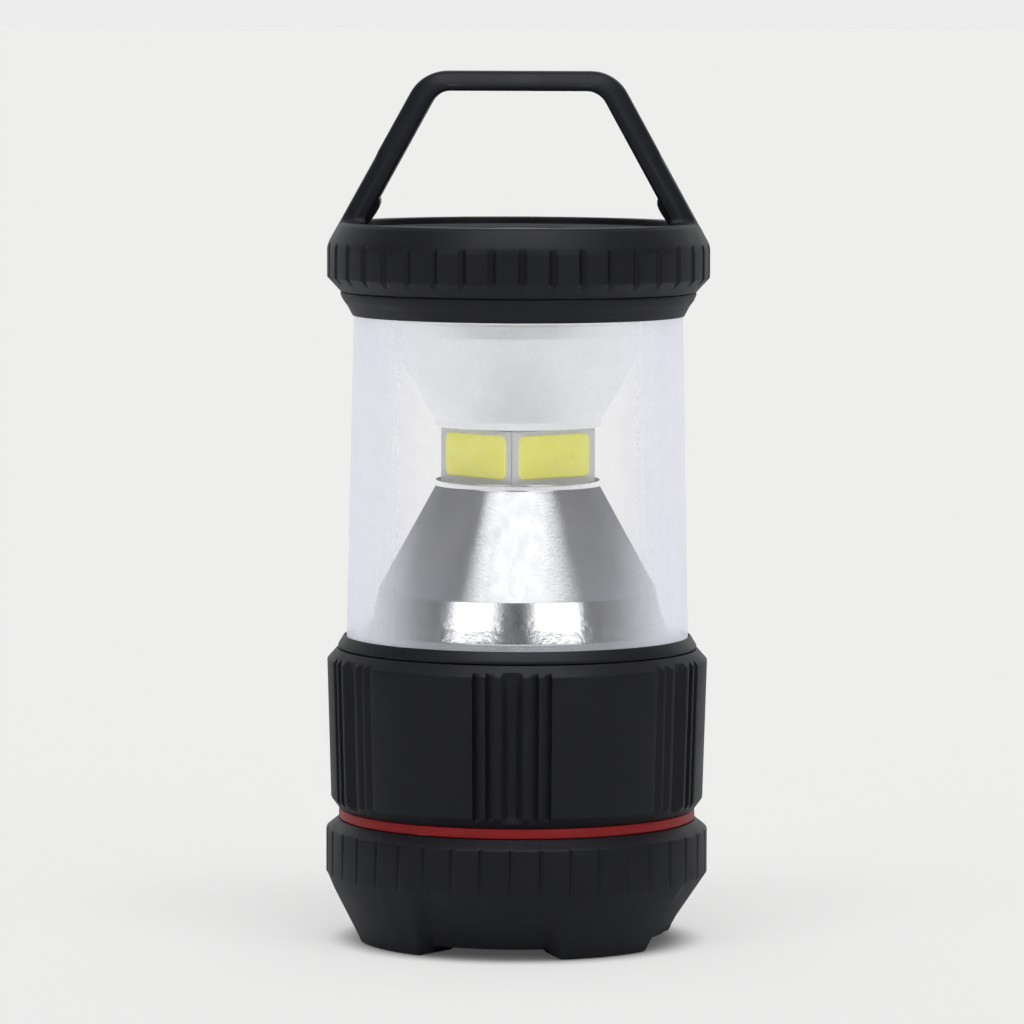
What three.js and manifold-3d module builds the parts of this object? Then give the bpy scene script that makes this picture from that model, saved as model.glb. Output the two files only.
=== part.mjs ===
// A battery camping lantern: base cap, battery housing with a rubber grip, frosted lens tube with two
// metallised reflectors round a square LED post, and a top collar moulded in one with its carry handle.
// Millimetres, +Z up, origin at the centre of the circle that the feet stand on. The front is -Y.
import * as THREE from 'three';
import { mergeVertices } from 'three/addons/utils/BufferGeometryUtils.js';
import { ConvexGeometry } from 'three/addons/geometries/ConvexGeometry.js';
import Module from 'manifold-3d';

const wasm = await Module();
wasm.setup();

// ---------------------------------------------------------------- driving dimensions

const GAP = 0.3;                     // between two pieces that touch
const RING_SIDES = 40;               // facets round a large ring: one for each grip notch
const PART_SIDES = 24;               // facets round an inner piece
const SHELL_SIDES = 32;              // facets round a reflector
const SCREW_SIDES = 8;

const GRIP_R = 47.5;                 // both grip rings, the widest circle
const NOTCHES = 40;
const NOTCH_DEPTH = 0.6;
const CAP_NOTCH_WIDTH = 1.3;
const COLLAR_NOTCH_WIDTH = 1.9;

// base cap
const FEET = 4;
const FOOT_TURN = 36;                // degrees from the front to the middle of the first foot
const FOOT_INNER_R = 26;
const FOOT_FLAT_R = 39.2;
const FOOT_EDGE = { r: 40.6, z: 1.9 };
const FOOT_GAP_HEIGHT = 2.3;
const FOOT_GAP_R = 37.4;
const FOOT_TOP = { r: 46.2, z: 13.8 };
const FOOT_HALF_LOW = 20;            // degrees, at the floor
const FOOT_HALF_HIGH = 28.5;         // degrees, where the foot runs out in the side
const CAP_SIDE_LOW = 17.3;
const CAP_SIDE_HIGH = 28.2;
const CAP_TOP_Z = 30.35;
const CAP_TOP_R = 44.5;
const CAP_BORE_R = 42.5;
const CAP_FLOOR = { r: 35.9, z: 4.2 };
const CAP_BORE_LOW_Z = 13.9;

// the seal ring and the grip body
const RING_R = 44.3;
const BODY_LOW_Z = 33.1;
const BODY_TOP_Z = 72.9;
const GRIP_BORE_R = 43.6;
const GRIP_SIDE_LOW = { r: 46.3, z: 35.8 };
const GRIP_SIDE_HIGH = { r: 47.3, z: 70.2 };
const GRIP_END_LOW_R = 44.3;
const GRIP_END_TOP_R = 44.8;
const RIB_GROUPS = 6;
const CHANNEL = { halfMouth: 2.85, halfFloor: 1.1, depth: 1.8 };
const RIB_GROOVE_ANGLES = [6.5, 10.6];
const RIB_GROOVE_WIDTH = 1.9;
const RIB_GROOVE_DEPTH = 1.0;

// battery housing
const HOUSING_R = 43.3;
const HOUSING_BORE_R = 41.2;
const SPIGOT_R = 42.1;
const SPIGOT_BORE_R = 39.9;
const SPIGOT_LOW_Z = 14;
const DECK_LOW_Z = 70.8;
const DECK_TOP_Z = 72.4;

// cells, contacts and the screw cap's tray
const CELL_R = 17.1;
const CELL_LENGTH = 61.5;
const NUB_LENGTH = 1.6;
const NUB_R = 4.6;
const CELL_CIRCLE_R = 19.9;
const CELL_BASE_Z = 8.6;
const CELL_FLIPPED_Z = 6.2;
const TRAY_LOW_Z = 4.5;
const TRAY_TOP_Z = 5.6;
const TRAY_R = 35.8;
const KEY_R = 34.5;
const KEY_TOP_Z = 26;

// lens and reflectors
const LENS_LOW = { r: 42.53, z: 74.6 };
const LENS_TOP = { r: 40.74, z: 158.2 };
const LENS_WALL = 2.0;
const POST_LOW_Z = 113.2;
const CONE_TOP_Z = 115;
const POST_TOP_Z = 128;
const POST_HALF = 13.6;              // from the axis to the outer face of a LED board
const POST_TURN = 42;                // degrees from the front to the middle of the first LED board
const PANEL_THICK = 1.0;
const PHOSPHOR = { width: 22.6, height: 10.65, corner: 1.6, thick: 0.4, middle: 121.35 };

// top collar and handle
const SEAM_Z = 161.7;
const SEAM_R = 44.15;
const COLLAR_BORE_R = 43;
const COLLAR_SIDE_LOW = 165.3;
const RECESS_R = 40.2;
const RECESS_FLOOR_Z = 177.2;
const RIM_Z = 178.7;
const TOP_NOTCH_TURN = 2.7;          // degrees between a top notch and the front
const LEG_SLOPE = 0.55;              // how far a leg leans in for each millimetre up
const LEG_REF = { r: 42.72, z: 181.9 };
const HANDLE_TOP_Z = 216.2;
const HANDLE_BAR = 4.9;
const HANDLE_LEG = 5.8;
const HANDLE_CORNER_R = 10.3;
const HANDLE_DEPTH = 14;
const BUTTON_R = 8.6;

// ---------------------------------------------------------------- materials

function finish(color, roughness, metalness = 0) {
  return new THREE.MeshStandardMaterial({ color, roughness, metalness });
}

const RUBBER = finish(0x26282b, 0.7);
const BLACK_PLASTIC = finish(0x1c1d1f, 0.55);
const RED_RUBBER = finish(0xa01f26, 0.6);
const MIRROR_COAT = finish(0xc9ccd0, 0.15, 1);
const WHITE_BOARD = finish(0xeeeeea, 0.5);
const PHOSPHOR_YELLOW = finish(0xd9d777, 0.5);
const GREEN_BOARD = finish(0x1d5a36, 0.5);
const ALUMINIUM = finish(0xb9bcc0, 0.4, 1);
const STEEL = finish(0xa8abb0, 0.35, 1);
const BRASS = finish(0xc2a457, 0.35, 1);
const SILICONE = finish(0xd9d9d4, 0.7);
const CELL_JACKET = finish(0x3c4652, 0.4, 0.4);
const RED_WIRE = finish(0xb02020, 0.6);
const BLACK_WIRE = finish(0x151515, 0.6);
const FROSTED = new THREE.MeshStandardMaterial({
  color: 0xe6e6f0, roughness: 0.35, metalness: 0, transparent: true, opacity: 0.4,
});

// ---------------------------------------------------------------- solids

const lantern = new THREE.Group();

// A three.js geometry as a solid that can be cut and joined.
function solid(geometry) {
  const bare = geometry.clone();
  bare.deleteAttribute('normal');
  bare.deleteAttribute('uv');
  const merged = mergeVertices(bare, 1e-4);
  return new wasm.Manifold(new wasm.Mesh({
    numProp: 3,
    vertProperties: new Float32Array(merged.attributes.position.array),
    triVerts: new Uint32Array(merged.index.array),
  }));
}

// A solid back as a three.js geometry.
function geometryOf(body) {
  const mesh = body.getMesh();
  const geometry = new THREE.BufferGeometry();
  geometry.setAttribute('position', new THREE.BufferAttribute(mesh.vertProperties, 3));
  geometry.setIndex(new THREE.BufferAttribute(mesh.triVerts, 1));
  return geometry;
}

function add(name, geometry, material) {
  const mesh = new THREE.Mesh(geometry, material);
  mesh.name = name;
  lantern.add(mesh);
  return mesh;
}

// A body turned about Z from a closed outline of [radius, z] points, listed anticlockwise (outwards along
// the bottom, then up the outside).
function turned(outline, sides = PART_SIDES) {
  const points = outline.map(([r, z]) => new THREE.Vector2(r, z));
  if (outline[0][0] > 0 || outline[outline.length - 1][0] > 0) {
    points.push(points[0].clone());
  }
  const geometry = new THREE.LatheGeometry(points, sides);
  geometry.rotateX(Math.PI / 2);
  return geometry;
}

function disc(radius, low, high, sides = PART_SIDES) {
  return turned([[0, low], [radius, low], [radius, high], [0, high]], sides);
}

function tube(inner, outer, low, high, sides = PART_SIDES) {
  return turned([[inner, low], [outer, low], [outer, high], [inner, high]], sides);
}

function box(width, depth, height, x = 0, y = 0, z = 0) {
  return new THREE.BoxGeometry(width, depth, height).translate(x, y, z);
}

// A geometry turned about Z by some degrees from the front towards the right hand side.
function turnedTo(geometry, degrees) {
  return geometry.clone().rotateZ(THREE.MathUtils.degToRad(degrees));
}

// A point on a circle, at some degrees from the front towards the right hand side.
function around(radius, degrees) {
  const angle = THREE.MathUtils.degToRad(degrees);
  return { x: radius * Math.sin(angle), y: -radius * Math.cos(angle) };
}

// A flat outline in X and Z, extruded along Y and centred on it.
function upright(shape, depth, curveSegments = 6) {
  const options = { depth, bevelEnabled: false, curveSegments };
  return new THREE.ExtrudeGeometry(shape, options).translate(0, 0, -depth / 2).rotateX(Math.PI / 2);
}

function cutAll(body, cutters) {
  return cutters.reduce((left, cutter) => left.subtract(solid(cutter)), body);
}

function joinAll(body, pieces) {
  return pieces.reduce((sum, piece) => sum.add(solid(piece)), body);
}

// The shallow vertical notches of a grip ring, between two heights.
function gripNotches(width, low, high, turn) {
  const height = high - low;
  const notch = box(width, 2 * NOTCH_DEPTH, height, 0, -GRIP_R, low + height / 2);
  return Array.from({ length: NOTCHES }, (_, i) => turnedTo(notch, turn + i * 360 / NOTCHES));
}

// A pan head screw, its shank pointing up (way 1) or down (way -1) from the seat of its head.
function screw(name, place, seat, length, way, headR = 2.4, shankR = 1.2) {
  const headHeight = 1.5;
  const outline = [[0, -headHeight], [headR * 0.6, -headHeight], [headR, -headHeight * 0.5], [headR, 0],
    [shankR, 0], [shankR, length], [0, length]];
  const geometry = turned(outline, SCREW_SIDES);
  if (way < 0) {
    geometry.rotateX(Math.PI);
  }
  const mesh = add(name, geometry, STEEL);
  mesh.position.set(place.x, place.y, seat);
}

// A coil spring standing on Z, with its radius changing evenly from bottom to top.
class Coil extends THREE.Curve {
  constructor(lowR, highR, height, turns) {
    super();
    Object.assign(this, { lowR, highR, height, turns });
  }

  getPoint(t, target = new THREE.Vector3()) {
    const angle = t * this.turns * 2 * Math.PI;
    const radius = THREE.MathUtils.lerp(this.lowR, this.highR, t);
    return target.set(radius * Math.cos(angle), radius * Math.sin(angle), t * this.height);
  }
}

function wire(curve, radius, steps, sides) {
  const section = new THREE.Shape();
  for (let i = 0; i < sides; i += 1) {
    const angle = i * 2 * Math.PI / sides;
    section[i ? 'lineTo' : 'moveTo'](radius * Math.cos(angle), radius * Math.sin(angle));
  }
  section.closePath();
  return new THREE.ExtrudeGeometry(section, { steps, bevelEnabled: false, extrudePath: curve });
}

// A coil spring whose wire, and not only its centre line, fills the height between low and high.
function spring(name, place, low, high, lowR, highR, turns, wireR) {
  const coil = new Coil(lowR, highR, high - low - 2 * wireR - 0.1, turns);
  const mesh = add(name, wire(coil, wireR, Math.round(turns * 8), 4), STEEL);
  mesh.position.set(place.x, place.y, low + wireR + 0.05);
}

// ---------------------------------------------------------------- base cap and seal ring

// Everything inside the slanted outer surface between the feet.
function capCore() {
  const chamfer = 0.5;
  return [[0, FOOT_GAP_HEIGHT], [FOOT_GAP_R, FOOT_GAP_HEIGHT], [GRIP_R, CAP_SIDE_LOW],
    [GRIP_R, CAP_SIDE_HIGH - chamfer], [GRIP_R - chamfer, CAP_SIDE_HIGH], [CAP_TOP_R, CAP_TOP_Z],
    [0, CAP_TOP_Z]];
}

// The wedge of the circle that one foot fills, wider at the top than at the floor.
function footWedge() {
  const reach = 70;
  const corners = [[0, -1], [0, 20]].map(([r, z]) => new THREE.Vector3(r, 0, z));
  for (const [half, z] of [[FOOT_HALF_LOW, -1], [FOOT_HALF_HIGH, 20]]) {
    for (const side of [-half, half]) {
      const { x, y } = around(reach, side);
      corners.push(new THREE.Vector3(x, y, z));
    }
  }
  return new ConvexGeometry(corners);
}

function baseCap() {
  const inside = CAP_SIDE_LOW + 1;
  const footRing = solid(turned([[FOOT_INNER_R, 0], [FOOT_FLAT_R, 0], [FOOT_FLAT_R + 0.9, 0.6],
    [FOOT_EDGE.r, FOOT_EDGE.z], [FOOT_TOP.r, FOOT_TOP.z], [GRIP_R, CAP_SIDE_LOW], [GRIP_R, inside],
    [FOOT_INNER_R, inside]], RING_SIDES));
  const wedge = footWedge();
  let cap = solid(turned(capCore(), RING_SIDES));
  for (let i = 0; i < FEET; i += 1) {
    cap = cap.add(footRing.intersect(solid(turnedTo(wedge, FOOT_TURN + i * 360 / FEET))));
  }
  const above = CAP_TOP_Z + 10;
  const cavity = turned([[0, CAP_FLOOR.z], [CAP_FLOOR.r, CAP_FLOOR.z], [CAP_BORE_R, CAP_BORE_LOW_Z],
    [CAP_BORE_R, above], [0, above]], RING_SIDES);
  cap = cap.subtract(solid(cavity));
  cap = cutAll(cap, gripNotches(CAP_NOTCH_WIDTH, CAP_SIDE_LOW, CAP_SIDE_HIGH + 1, 0));
  add('base_cap', geometryOf(cap), RUBBER);
}

function sealRing() {
  const low = CAP_TOP_Z + GAP / 2;
  const high = BODY_LOW_Z - GAP / 2;
  add('seal_ring', tube(SPIGOT_R + 0.1, RING_R, low, high, RING_SIDES), RED_RUBBER);
}

// ---------------------------------------------------------------- battery housing and grip

// Places between two cells, where the tray's keys, the housing's guides and the screws stand.
const BETWEEN_CELLS = [60, 180, 300];
const CELL_ANGLES = [0, 120, 240];
const LEAD_SLOT = { radius: 31.5, turn: 180 };
const GUIDE_TURN = 8.4;              // degrees between a guide rib and the middle of its key
const BOSS_TOP_Z = 76.6;
const BOARD_SCREW_R = 20;
const REFLECTOR_SCREW_R = 33;
const COLLAR_SCREW_R = 31;

function batteryHousing() {
  const outside = [[SPIGOT_R, SPIGOT_LOW_Z], [SPIGOT_R, BODY_LOW_Z], [HOUSING_R, BODY_LOW_Z],
    [HOUSING_R, DECK_TOP_Z], [0, DECK_TOP_Z]];
  const bore = [[0, DECK_LOW_Z], [HOUSING_BORE_R, DECK_LOW_Z], [HOUSING_BORE_R, BODY_LOW_Z + 2],
    [SPIGOT_BORE_R, BODY_LOW_Z]];
  let housing = solid(turned([[SPIGOT_BORE_R, SPIGOT_LOW_Z], ...outside, ...bore], RING_SIDES));
  const guide = box(1.2, 6.4, 24, 0, -37.2, SPIGOT_LOW_Z + 14);
  const boss = tube(1.0, 2.4, DECK_TOP_Z - 1, BOSS_TOP_Z, SCREW_SIDES);
  const bossBore = disc(1.0, DECK_TOP_Z - 0.6, BOSS_TOP_Z + 1.4, SCREW_SIDES);
  const screwHole = disc(1.5, DECK_LOW_Z - 1, DECK_TOP_Z + 1, SCREW_SIDES);
  for (const angle of BETWEEN_CELLS) {
    for (const side of [-GUIDE_TURN, GUIDE_TURN]) {
      housing = housing.add(solid(turnedTo(guide, angle + side)));
    }
    const bossAt = around(BOARD_SCREW_R, angle);
    const holeAt = around(REFLECTOR_SCREW_R, angle + 30);
    housing = housing.add(solid(boss.clone().translate(bossAt.x, bossAt.y, 0)));
    housing = housing.subtract(solid(screwHole.clone().translate(holeAt.x, holeAt.y, 0)));
    housing = housing.subtract(solid(bossBore.clone().translate(bossAt.x, bossAt.y, 0)));
  }
  const slot = around(LEAD_SLOT.radius, LEAD_SLOT.turn);
  housing = housing.subtract(solid(box(6, 1.6, 4, slot.x, slot.y, DECK_LOW_Z)));
  add('battery_housing', geometryOf(housing), BLACK_PLASTIC);
}

function gripSleeve() {
  let sleeve = solid(turned([[GRIP_BORE_R, BODY_LOW_Z], [GRIP_END_LOW_R, BODY_LOW_Z],
    [GRIP_SIDE_LOW.r, GRIP_SIDE_LOW.z], [GRIP_SIDE_HIGH.r, GRIP_SIDE_HIGH.z], [GRIP_END_TOP_R, BODY_TOP_Z],
    [GRIP_BORE_R, BODY_TOP_Z]], 48));
  const height = 60;
  const middle = (BODY_LOW_Z + BODY_TOP_Z) / 2;
  const lean = Math.atan2(GRIP_SIDE_HIGH.r - GRIP_SIDE_LOW.r, GRIP_SIDE_HIGH.z - GRIP_SIDE_LOW.z);
  const sideR = (GRIP_SIDE_LOW.r + GRIP_SIDE_HIGH.r) / 2;
  const onSide = (geometry) => geometry.rotateX(lean).translate(0, -sideR, middle);
  const narrow = onSide(box(RIB_GROOVE_WIDTH, 2 * RIB_GROOVE_DEPTH, height));
  const { halfMouth, halfFloor, depth } = CHANNEL;
  const section = new THREE.Shape([[-halfFloor, depth], [-2 * halfMouth + halfFloor, -depth],
    [2 * halfMouth - halfFloor, -depth], [halfFloor, depth]].map(([x, y]) => new THREE.Vector2(x, y)));
  const channel = onSide(new THREE.ExtrudeGeometry(section, { depth: height, bevelEnabled: false })
    .translate(0, 0, -height / 2));
  for (let group = 0; group < RIB_GROUPS; group += 1) {
    const turn = group * 360 / RIB_GROUPS;
    const angles = RIB_GROOVE_ANGLES.flatMap((angle) => [turn - angle, turn + angle]);
    sleeve = cutAll(sleeve, [turnedTo(channel, turn), ...angles.map((angle) => turnedTo(narrow, angle))]);
  }
  add('grip_sleeve', geometryOf(sleeve), RUBBER);
}

// ---------------------------------------------------------------- cells, contacts, tray

function cells() {
  CELL_ANGLES.forEach((angle, i) => {
    const flipped = i === 1;
    const can = CELL_LENGTH - NUB_LENGTH;
    const geometry = turned([[0, 0], [CELL_R - 0.6, 0], [CELL_R, 0.6], [CELL_R, can - 0.8],
      [CELL_R - 0.8, can], [NUB_R, can], [NUB_R, CELL_LENGTH], [0, CELL_LENGTH]], 16);
    if (flipped) {
      geometry.rotateX(Math.PI).translate(0, 0, CELL_LENGTH);
    }
    const mesh = add(`cell_${i + 1}`, geometry, CELL_JACKET);
    const { x, y } = around(CELL_CIRCLE_R, angle);
    mesh.position.set(x, y, flipped ? CELL_FLIPPED_Z : CELL_BASE_Z);
  });
}

// A flat metal strip over two cells, or one, seen from above as a bar with square ends.
function contactBar(name, fromAngle, toAngle, low, thick) {
  const a = around(CELL_CIRCLE_R, fromAngle);
  const b = around(CELL_CIRCLE_R, toAngle);
  const length = Math.hypot(b.x - a.x, b.y - a.y) + 12;
  const geometry = box(length, 9, thick, 0, 0, thick / 2);
  geometry.rotateZ(Math.atan2(b.y - a.y, b.x - a.x));
  const mesh = add(name, geometry, BRASS);
  mesh.position.set((a.x + b.x) / 2, (a.y + b.y) / 2, low);
}

function contacts() {
  const thick = 0.3;
  const high = DECK_LOW_Z - thick - 0.05;
  contactBar('upper_contact_plus', CELL_ANGLES[0], CELL_ANGLES[0], high, thick);
  contactBar('upper_contact_bridge', CELL_ANGLES[1], CELL_ANGLES[2], high, thick);
  contactBar('lower_contact_bridge', CELL_ANGLES[0], CELL_ANGLES[1], TRAY_TOP_Z + 0.05, thick);
  contactBar('lower_contact_minus', CELL_ANGLES[2], CELL_ANGLES[2], TRAY_TOP_Z + 0.05, thick);
  const springLow = TRAY_TOP_Z + 0.05 + thick;
  spring('lower_spring_1', around(CELL_CIRCLE_R, CELL_ANGLES[0]), springLow, CELL_BASE_Z, 7, 4, 3, 0.4);
  spring('lower_spring_2', around(CELL_CIRCLE_R, CELL_ANGLES[2]), springLow, CELL_BASE_Z, 7, 4, 3, 0.4);
  const cellTop = CELL_FLIPPED_Z + CELL_LENGTH;
  spring('upper_spring', around(CELL_CIRCLE_R, CELL_ANGLES[1]), cellTop, high, 4, 7, 3, 0.4);
  const strip = box(4, 0.4, DECK_LOW_Z - 17, 0, -38.9, (DECK_LOW_Z + 17) / 2 - 0.5);
  add('return_strip', turnedTo(strip, 240), BRASS);
}

function contactTray() {
  let tray = solid(disc(TRAY_R, TRAY_LOW_Z, TRAY_TOP_Z));
  const key = box(7.6, 1.6, KEY_TOP_Z - TRAY_LOW_Z - 0.3, 0, -KEY_R, (KEY_TOP_Z + TRAY_LOW_Z + 0.3) / 2);
  const rib = box(1.4, 4, 12, 0, -KEY_R + 2.2, TRAY_TOP_Z + 5.5);
  tray = joinAll(tray, BETWEEN_CELLS.flatMap((angle) => [turnedTo(key, angle), turnedTo(rib, angle)]));
  add('contact_tray', geometryOf(tray), BLACK_PLASTIC);
}

// ---------------------------------------------------------------- lens and reflectors

function lensTube() {
  const { r: lowR, z: lowZ } = LENS_LOW;
  const { r: topR, z: topZ } = LENS_TOP;
  add('lens_tube', turned([[lowR - LENS_WALL, lowZ], [lowR, lowZ], [topR, topZ], [topR - LENS_WALL, topZ]],
    RING_SIDES), FROSTED);
  add('lens_gasket_lower', tube(lowR - LENS_WALL + 0.2, lowR - 0.1, 74.1, lowZ - 0.05), SILICONE);
  add('lens_gasket_upper', tube(topR - LENS_WALL + 0.2, topR - 0.1, topZ + 0.05, 159.2), SILICONE);
}

function lensBezel() {
  add('lens_bezel', turned([[40.3, 72.6], [HOUSING_R, 72.6], [HOUSING_R, 73.2], [44.6, 73.2], [44.6, 73.8],
    [43.1, 76.1], [42.8, 76.1], [42.8, 74.0], [40.3, 74.0]], RING_SIDES), RUBBER);
}

function lowerReflector() {
  const outer = [[40.0, 74.4], [39.9, 76.2], [37.6, 79.4], [35.6, 84.2], [34.9, 87.2],
    [20.4, CONE_TOP_Z - 1.6], [20.4, CONE_TOP_Z]];
  const inner = [[19.5, CONE_TOP_Z], [19.5, CONE_TOP_Z - 2.2], [33.5, 87.0], [34.3, 84.0], [36.3, 79.0],
    [38.6, 75.9], [38.6, 74.4]];
  let reflector = solid(turned([...outer, ...inner], SHELL_SIDES));
  const trim = solid(turned([[38.9, 70], [60, 70], [60, 90], [34, 90], [36.6, 79.2]], SHELL_SIDES));
  const post = tube(1.4, 2.8, DECK_TOP_Z + GAP, 80, SCREW_SIDES);
  for (const angle of BETWEEN_CELLS) {
    const { x, y } = around(REFLECTOR_SCREW_R, angle + 30);
    const arm = turnedTo(box(2.4, 4.4, 5, 0, -37.1, 77.2), angle + 30);
    reflector = reflector.add(solid(post.clone().translate(x, y, 0)));
    reflector = reflector.add(solid(arm).subtract(trim));
  }
  add('lower_reflector', geometryOf(reflector), MIRROR_COAT);
}

function upperReflector() {
  const low = POST_TOP_Z + GAP;
  const outer = [[9, low], [20.6, low], [20.7, low + 1.7], [33.6, 151.4], [36.4, 154.6], [37.8, 155.2],
    [37.8, 159.1]];
  const inner = [[36.6, 159.1], [36.6, 156.2], [35.6, 155.6], [32.4, 152.2], [19.8, low + 2.4],
    [19.8, low + 1.2], [9, low + 1.2]];
  add('upper_reflector', turned([...outer, ...inner], SHELL_SIDES), MIRROR_COAT);
}

// ---------------------------------------------------------------- LED post and driver board

function heatSink() {
  const core = POST_HALF - PANEL_THICK - 0.1;
  const head = box(2 * core, 2 * core, POST_TOP_Z - POST_LOW_Z, 0, 0, (POST_TOP_Z + POST_LOW_Z) / 2);
  let sink = solid(turned([[0, DECK_TOP_Z + 0.2], [13, DECK_TOP_Z + 0.2], [13, 74.4], [7.5, 74.4],
    [7.5, POST_LOW_Z + 1], [0, POST_LOW_Z + 1]]));
  sink = sink.add(solid(turnedTo(head, POST_TURN)));
  sink = sink.subtract(solid(disc(4.5, 70, 140, 24)));
  sink = sink.subtract(solid(box(30, 5, 7, 0, 0, 84)));
  add('heat_sink', geometryOf(sink), ALUMINIUM);
}

function roundedRectangle(width, height, corner) {
  const shape = new THREE.Shape();
  const x = width / 2 - corner;
  const y = height / 2 - corner;
  shape.moveTo(x + corner, -y);
  shape.absarc(x, y, corner, 0, Math.PI / 2);
  shape.absarc(-x, y, corner, Math.PI / 2, Math.PI);
  shape.absarc(-x, -y, corner, Math.PI, 1.5 * Math.PI);
  shape.absarc(x, -y, corner, 1.5 * Math.PI, 2 * Math.PI);
  return shape;
}

// Four LED boards, mitred where they meet at the post's corners, each with its phosphor field. One corner
// of the post points a little left of the front.
function ledPanels() {
  const middle = (POST_LOW_Z + POST_TOP_Z) / 2;
  const height = POST_TOP_Z - POST_LOW_Z - 0.4;
  const outer = POST_HALF - 0.1;
  const inner = POST_HALF - PANEL_THICK - 0.1;
  const corners = [[-outer, -POST_HALF], [outer, -POST_HALF], [inner, -inner - 0.1],
    [-inner, -inner - 0.1]];
  const plan = new THREE.Shape(corners.map(([x, y]) => new THREE.Vector2(x, y)));
  const board = new THREE.ExtrudeGeometry(plan, { depth: height, bevelEnabled: false })
    .translate(0, 0, middle - height / 2);
  const outline = roundedRectangle(PHOSPHOR.width, PHOSPHOR.height, PHOSPHOR.corner);
  const field = upright(outline, PHOSPHOR.thick, 4)
    .translate(0, -POST_HALF - PHOSPHOR.thick / 2 - 0.02, PHOSPHOR.middle);
  for (let i = 0; i < 4; i += 1) {
    const turn = POST_TURN + i * 90;
    add(`led_panel_${i + 1}`, turnedTo(board, turn), WHITE_BOARD);
    add(`led_phosphor_${i + 1}`, turnedTo(field, turn), PHOSPHOR_YELLOW);
  }
}

function driver() {
  let board = solid(tube(8.2, 27, 76.8, 78.4));
  for (const angle of BETWEEN_CELLS) {
    const { x, y } = around(BOARD_SCREW_R, angle);
    board = board.subtract(solid(disc(1.4, 70, 90, SCREW_SIDES).translate(x, y, 0)));
    screw(`driver_screw_${angle / 120 + 0.5}`, { x, y }, 78.6, 3.6, -1, 2.2, 0.8);
    const seat = around(REFLECTOR_SCREW_R, angle + 30);
    screw(`reflector_screw_${angle / 120 + 0.5}`, seat, DECK_LOW_Z - 0.1, 7, 1, 2.4, 1.2);
  }
  add('driver_board', geometryOf(board), GREEN_BOARD);
  const choke = add('driver_inductor', tube(2.5, 6, 0, 5, 24), BLACK_PLASTIC);
  choke.position.set(17, 8, 78.6);
  const can = add('driver_capacitor', disc(4, 0, 9, 24), STEEL);
  can.position.set(-17, 7, 78.6);
  const chip = add('driver_chip', box(5, 6, 1.5, 0, 0, 0.75), BLACK_PLASTIC);
  chip.position.set(0, -18, 78.6);
}

// Two leads from the driver board, through the window in the post's stem and up its bore to the switch
// board.
function leads() {
  for (const [name, side, material] of [['lead_red', 1, RED_WIRE], ['lead_black', -1, BLACK_WIRE]]) {
    const route = [[11, 79.2], [9.5, 82], [5, 84.4], [2.4, 88], [1.8, 96], [1.8, 128], [1.8, 150],
      [2.6, 158], [4, 166.2]];
    const points = route.map(([x, z]) => new THREE.Vector3(side * x, 0, z));
    add(name, wire(new THREE.CatmullRomCurve3(points), 0.7, 24, 5), material);
  }
}

// ---------------------------------------------------------------- top collar, handle and switch

function lensCollar() {
  const top = SEAM_Z - 0.2;
  const outside = [[41.05, 155.7], [41.15, 155.9], [42.4, 158], [43.5, 159.5], [SEAM_R, 160.9],
    [SEAM_R, top]];
  const spigot = [[42.5, top], [42.5, 169.5], [40.6, 169.5], [40.6, top]];
  const web = [[8, top], [8, 159.3], [41.05, 159.3]];
  let collar = solid(turned([...outside, ...spigot, ...web], RING_SIDES));
  const hole = disc(1.6, 150, 170, SCREW_SIDES);
  for (const angle of BETWEEN_CELLS) {
    const { x, y } = around(COLLAR_SCREW_R, angle);
    collar = collar.subtract(solid(hole.clone().translate(x, y, 0)));
    screw(`collar_screw_${angle / 120 + 0.5}`, { x, y }, 159.2, 9, 1, 2.6, 1.2);
  }
  add('lens_collar', geometryOf(collar), RUBBER);
}

// How far out the straight outer line of the handle and of the collar's upper bevel is at a height.
function legLine(z) {
  return LEG_REF.r + LEG_SLOPE * (LEG_REF.z - z);
}

// The handle's outline: a trapezoid frame with round corners, open at the bottom.
function handleShape() {
  const low = 170;
  const lean = Math.atan(LEG_SLOPE);
  const legWide = HANDLE_LEG / Math.cos(lean);
  const frame = (inset, top, corner) => {
    const bend = (Math.PI / 2 - lean) / 2;
    const reach = corner * Math.tan(bend);
    const cornerX = legLine(top) - inset;
    const path = new THREE.Shape();
    path.moveTo(legLine(low) - inset, low);
    path.lineTo(cornerX + reach * Math.sin(lean), top - reach * Math.cos(lean));
    path.absarc(cornerX - reach, top - corner, corner, lean, Math.PI / 2);
    path.lineTo(-cornerX + reach, top);
    path.absarc(-cornerX + reach, top - corner, corner, Math.PI / 2, Math.PI - lean);
    path.lineTo(-legLine(low) + inset, low);
    path.closePath();
    return path;
  };
  const outside = frame(0, HANDLE_TOP_Z, HANDLE_CORNER_R);
  const inside = frame(legWide, HANDLE_TOP_Z - HANDLE_BAR, HANDLE_CORNER_R - HANDLE_BAR);
  return { outside, inside };
}

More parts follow.
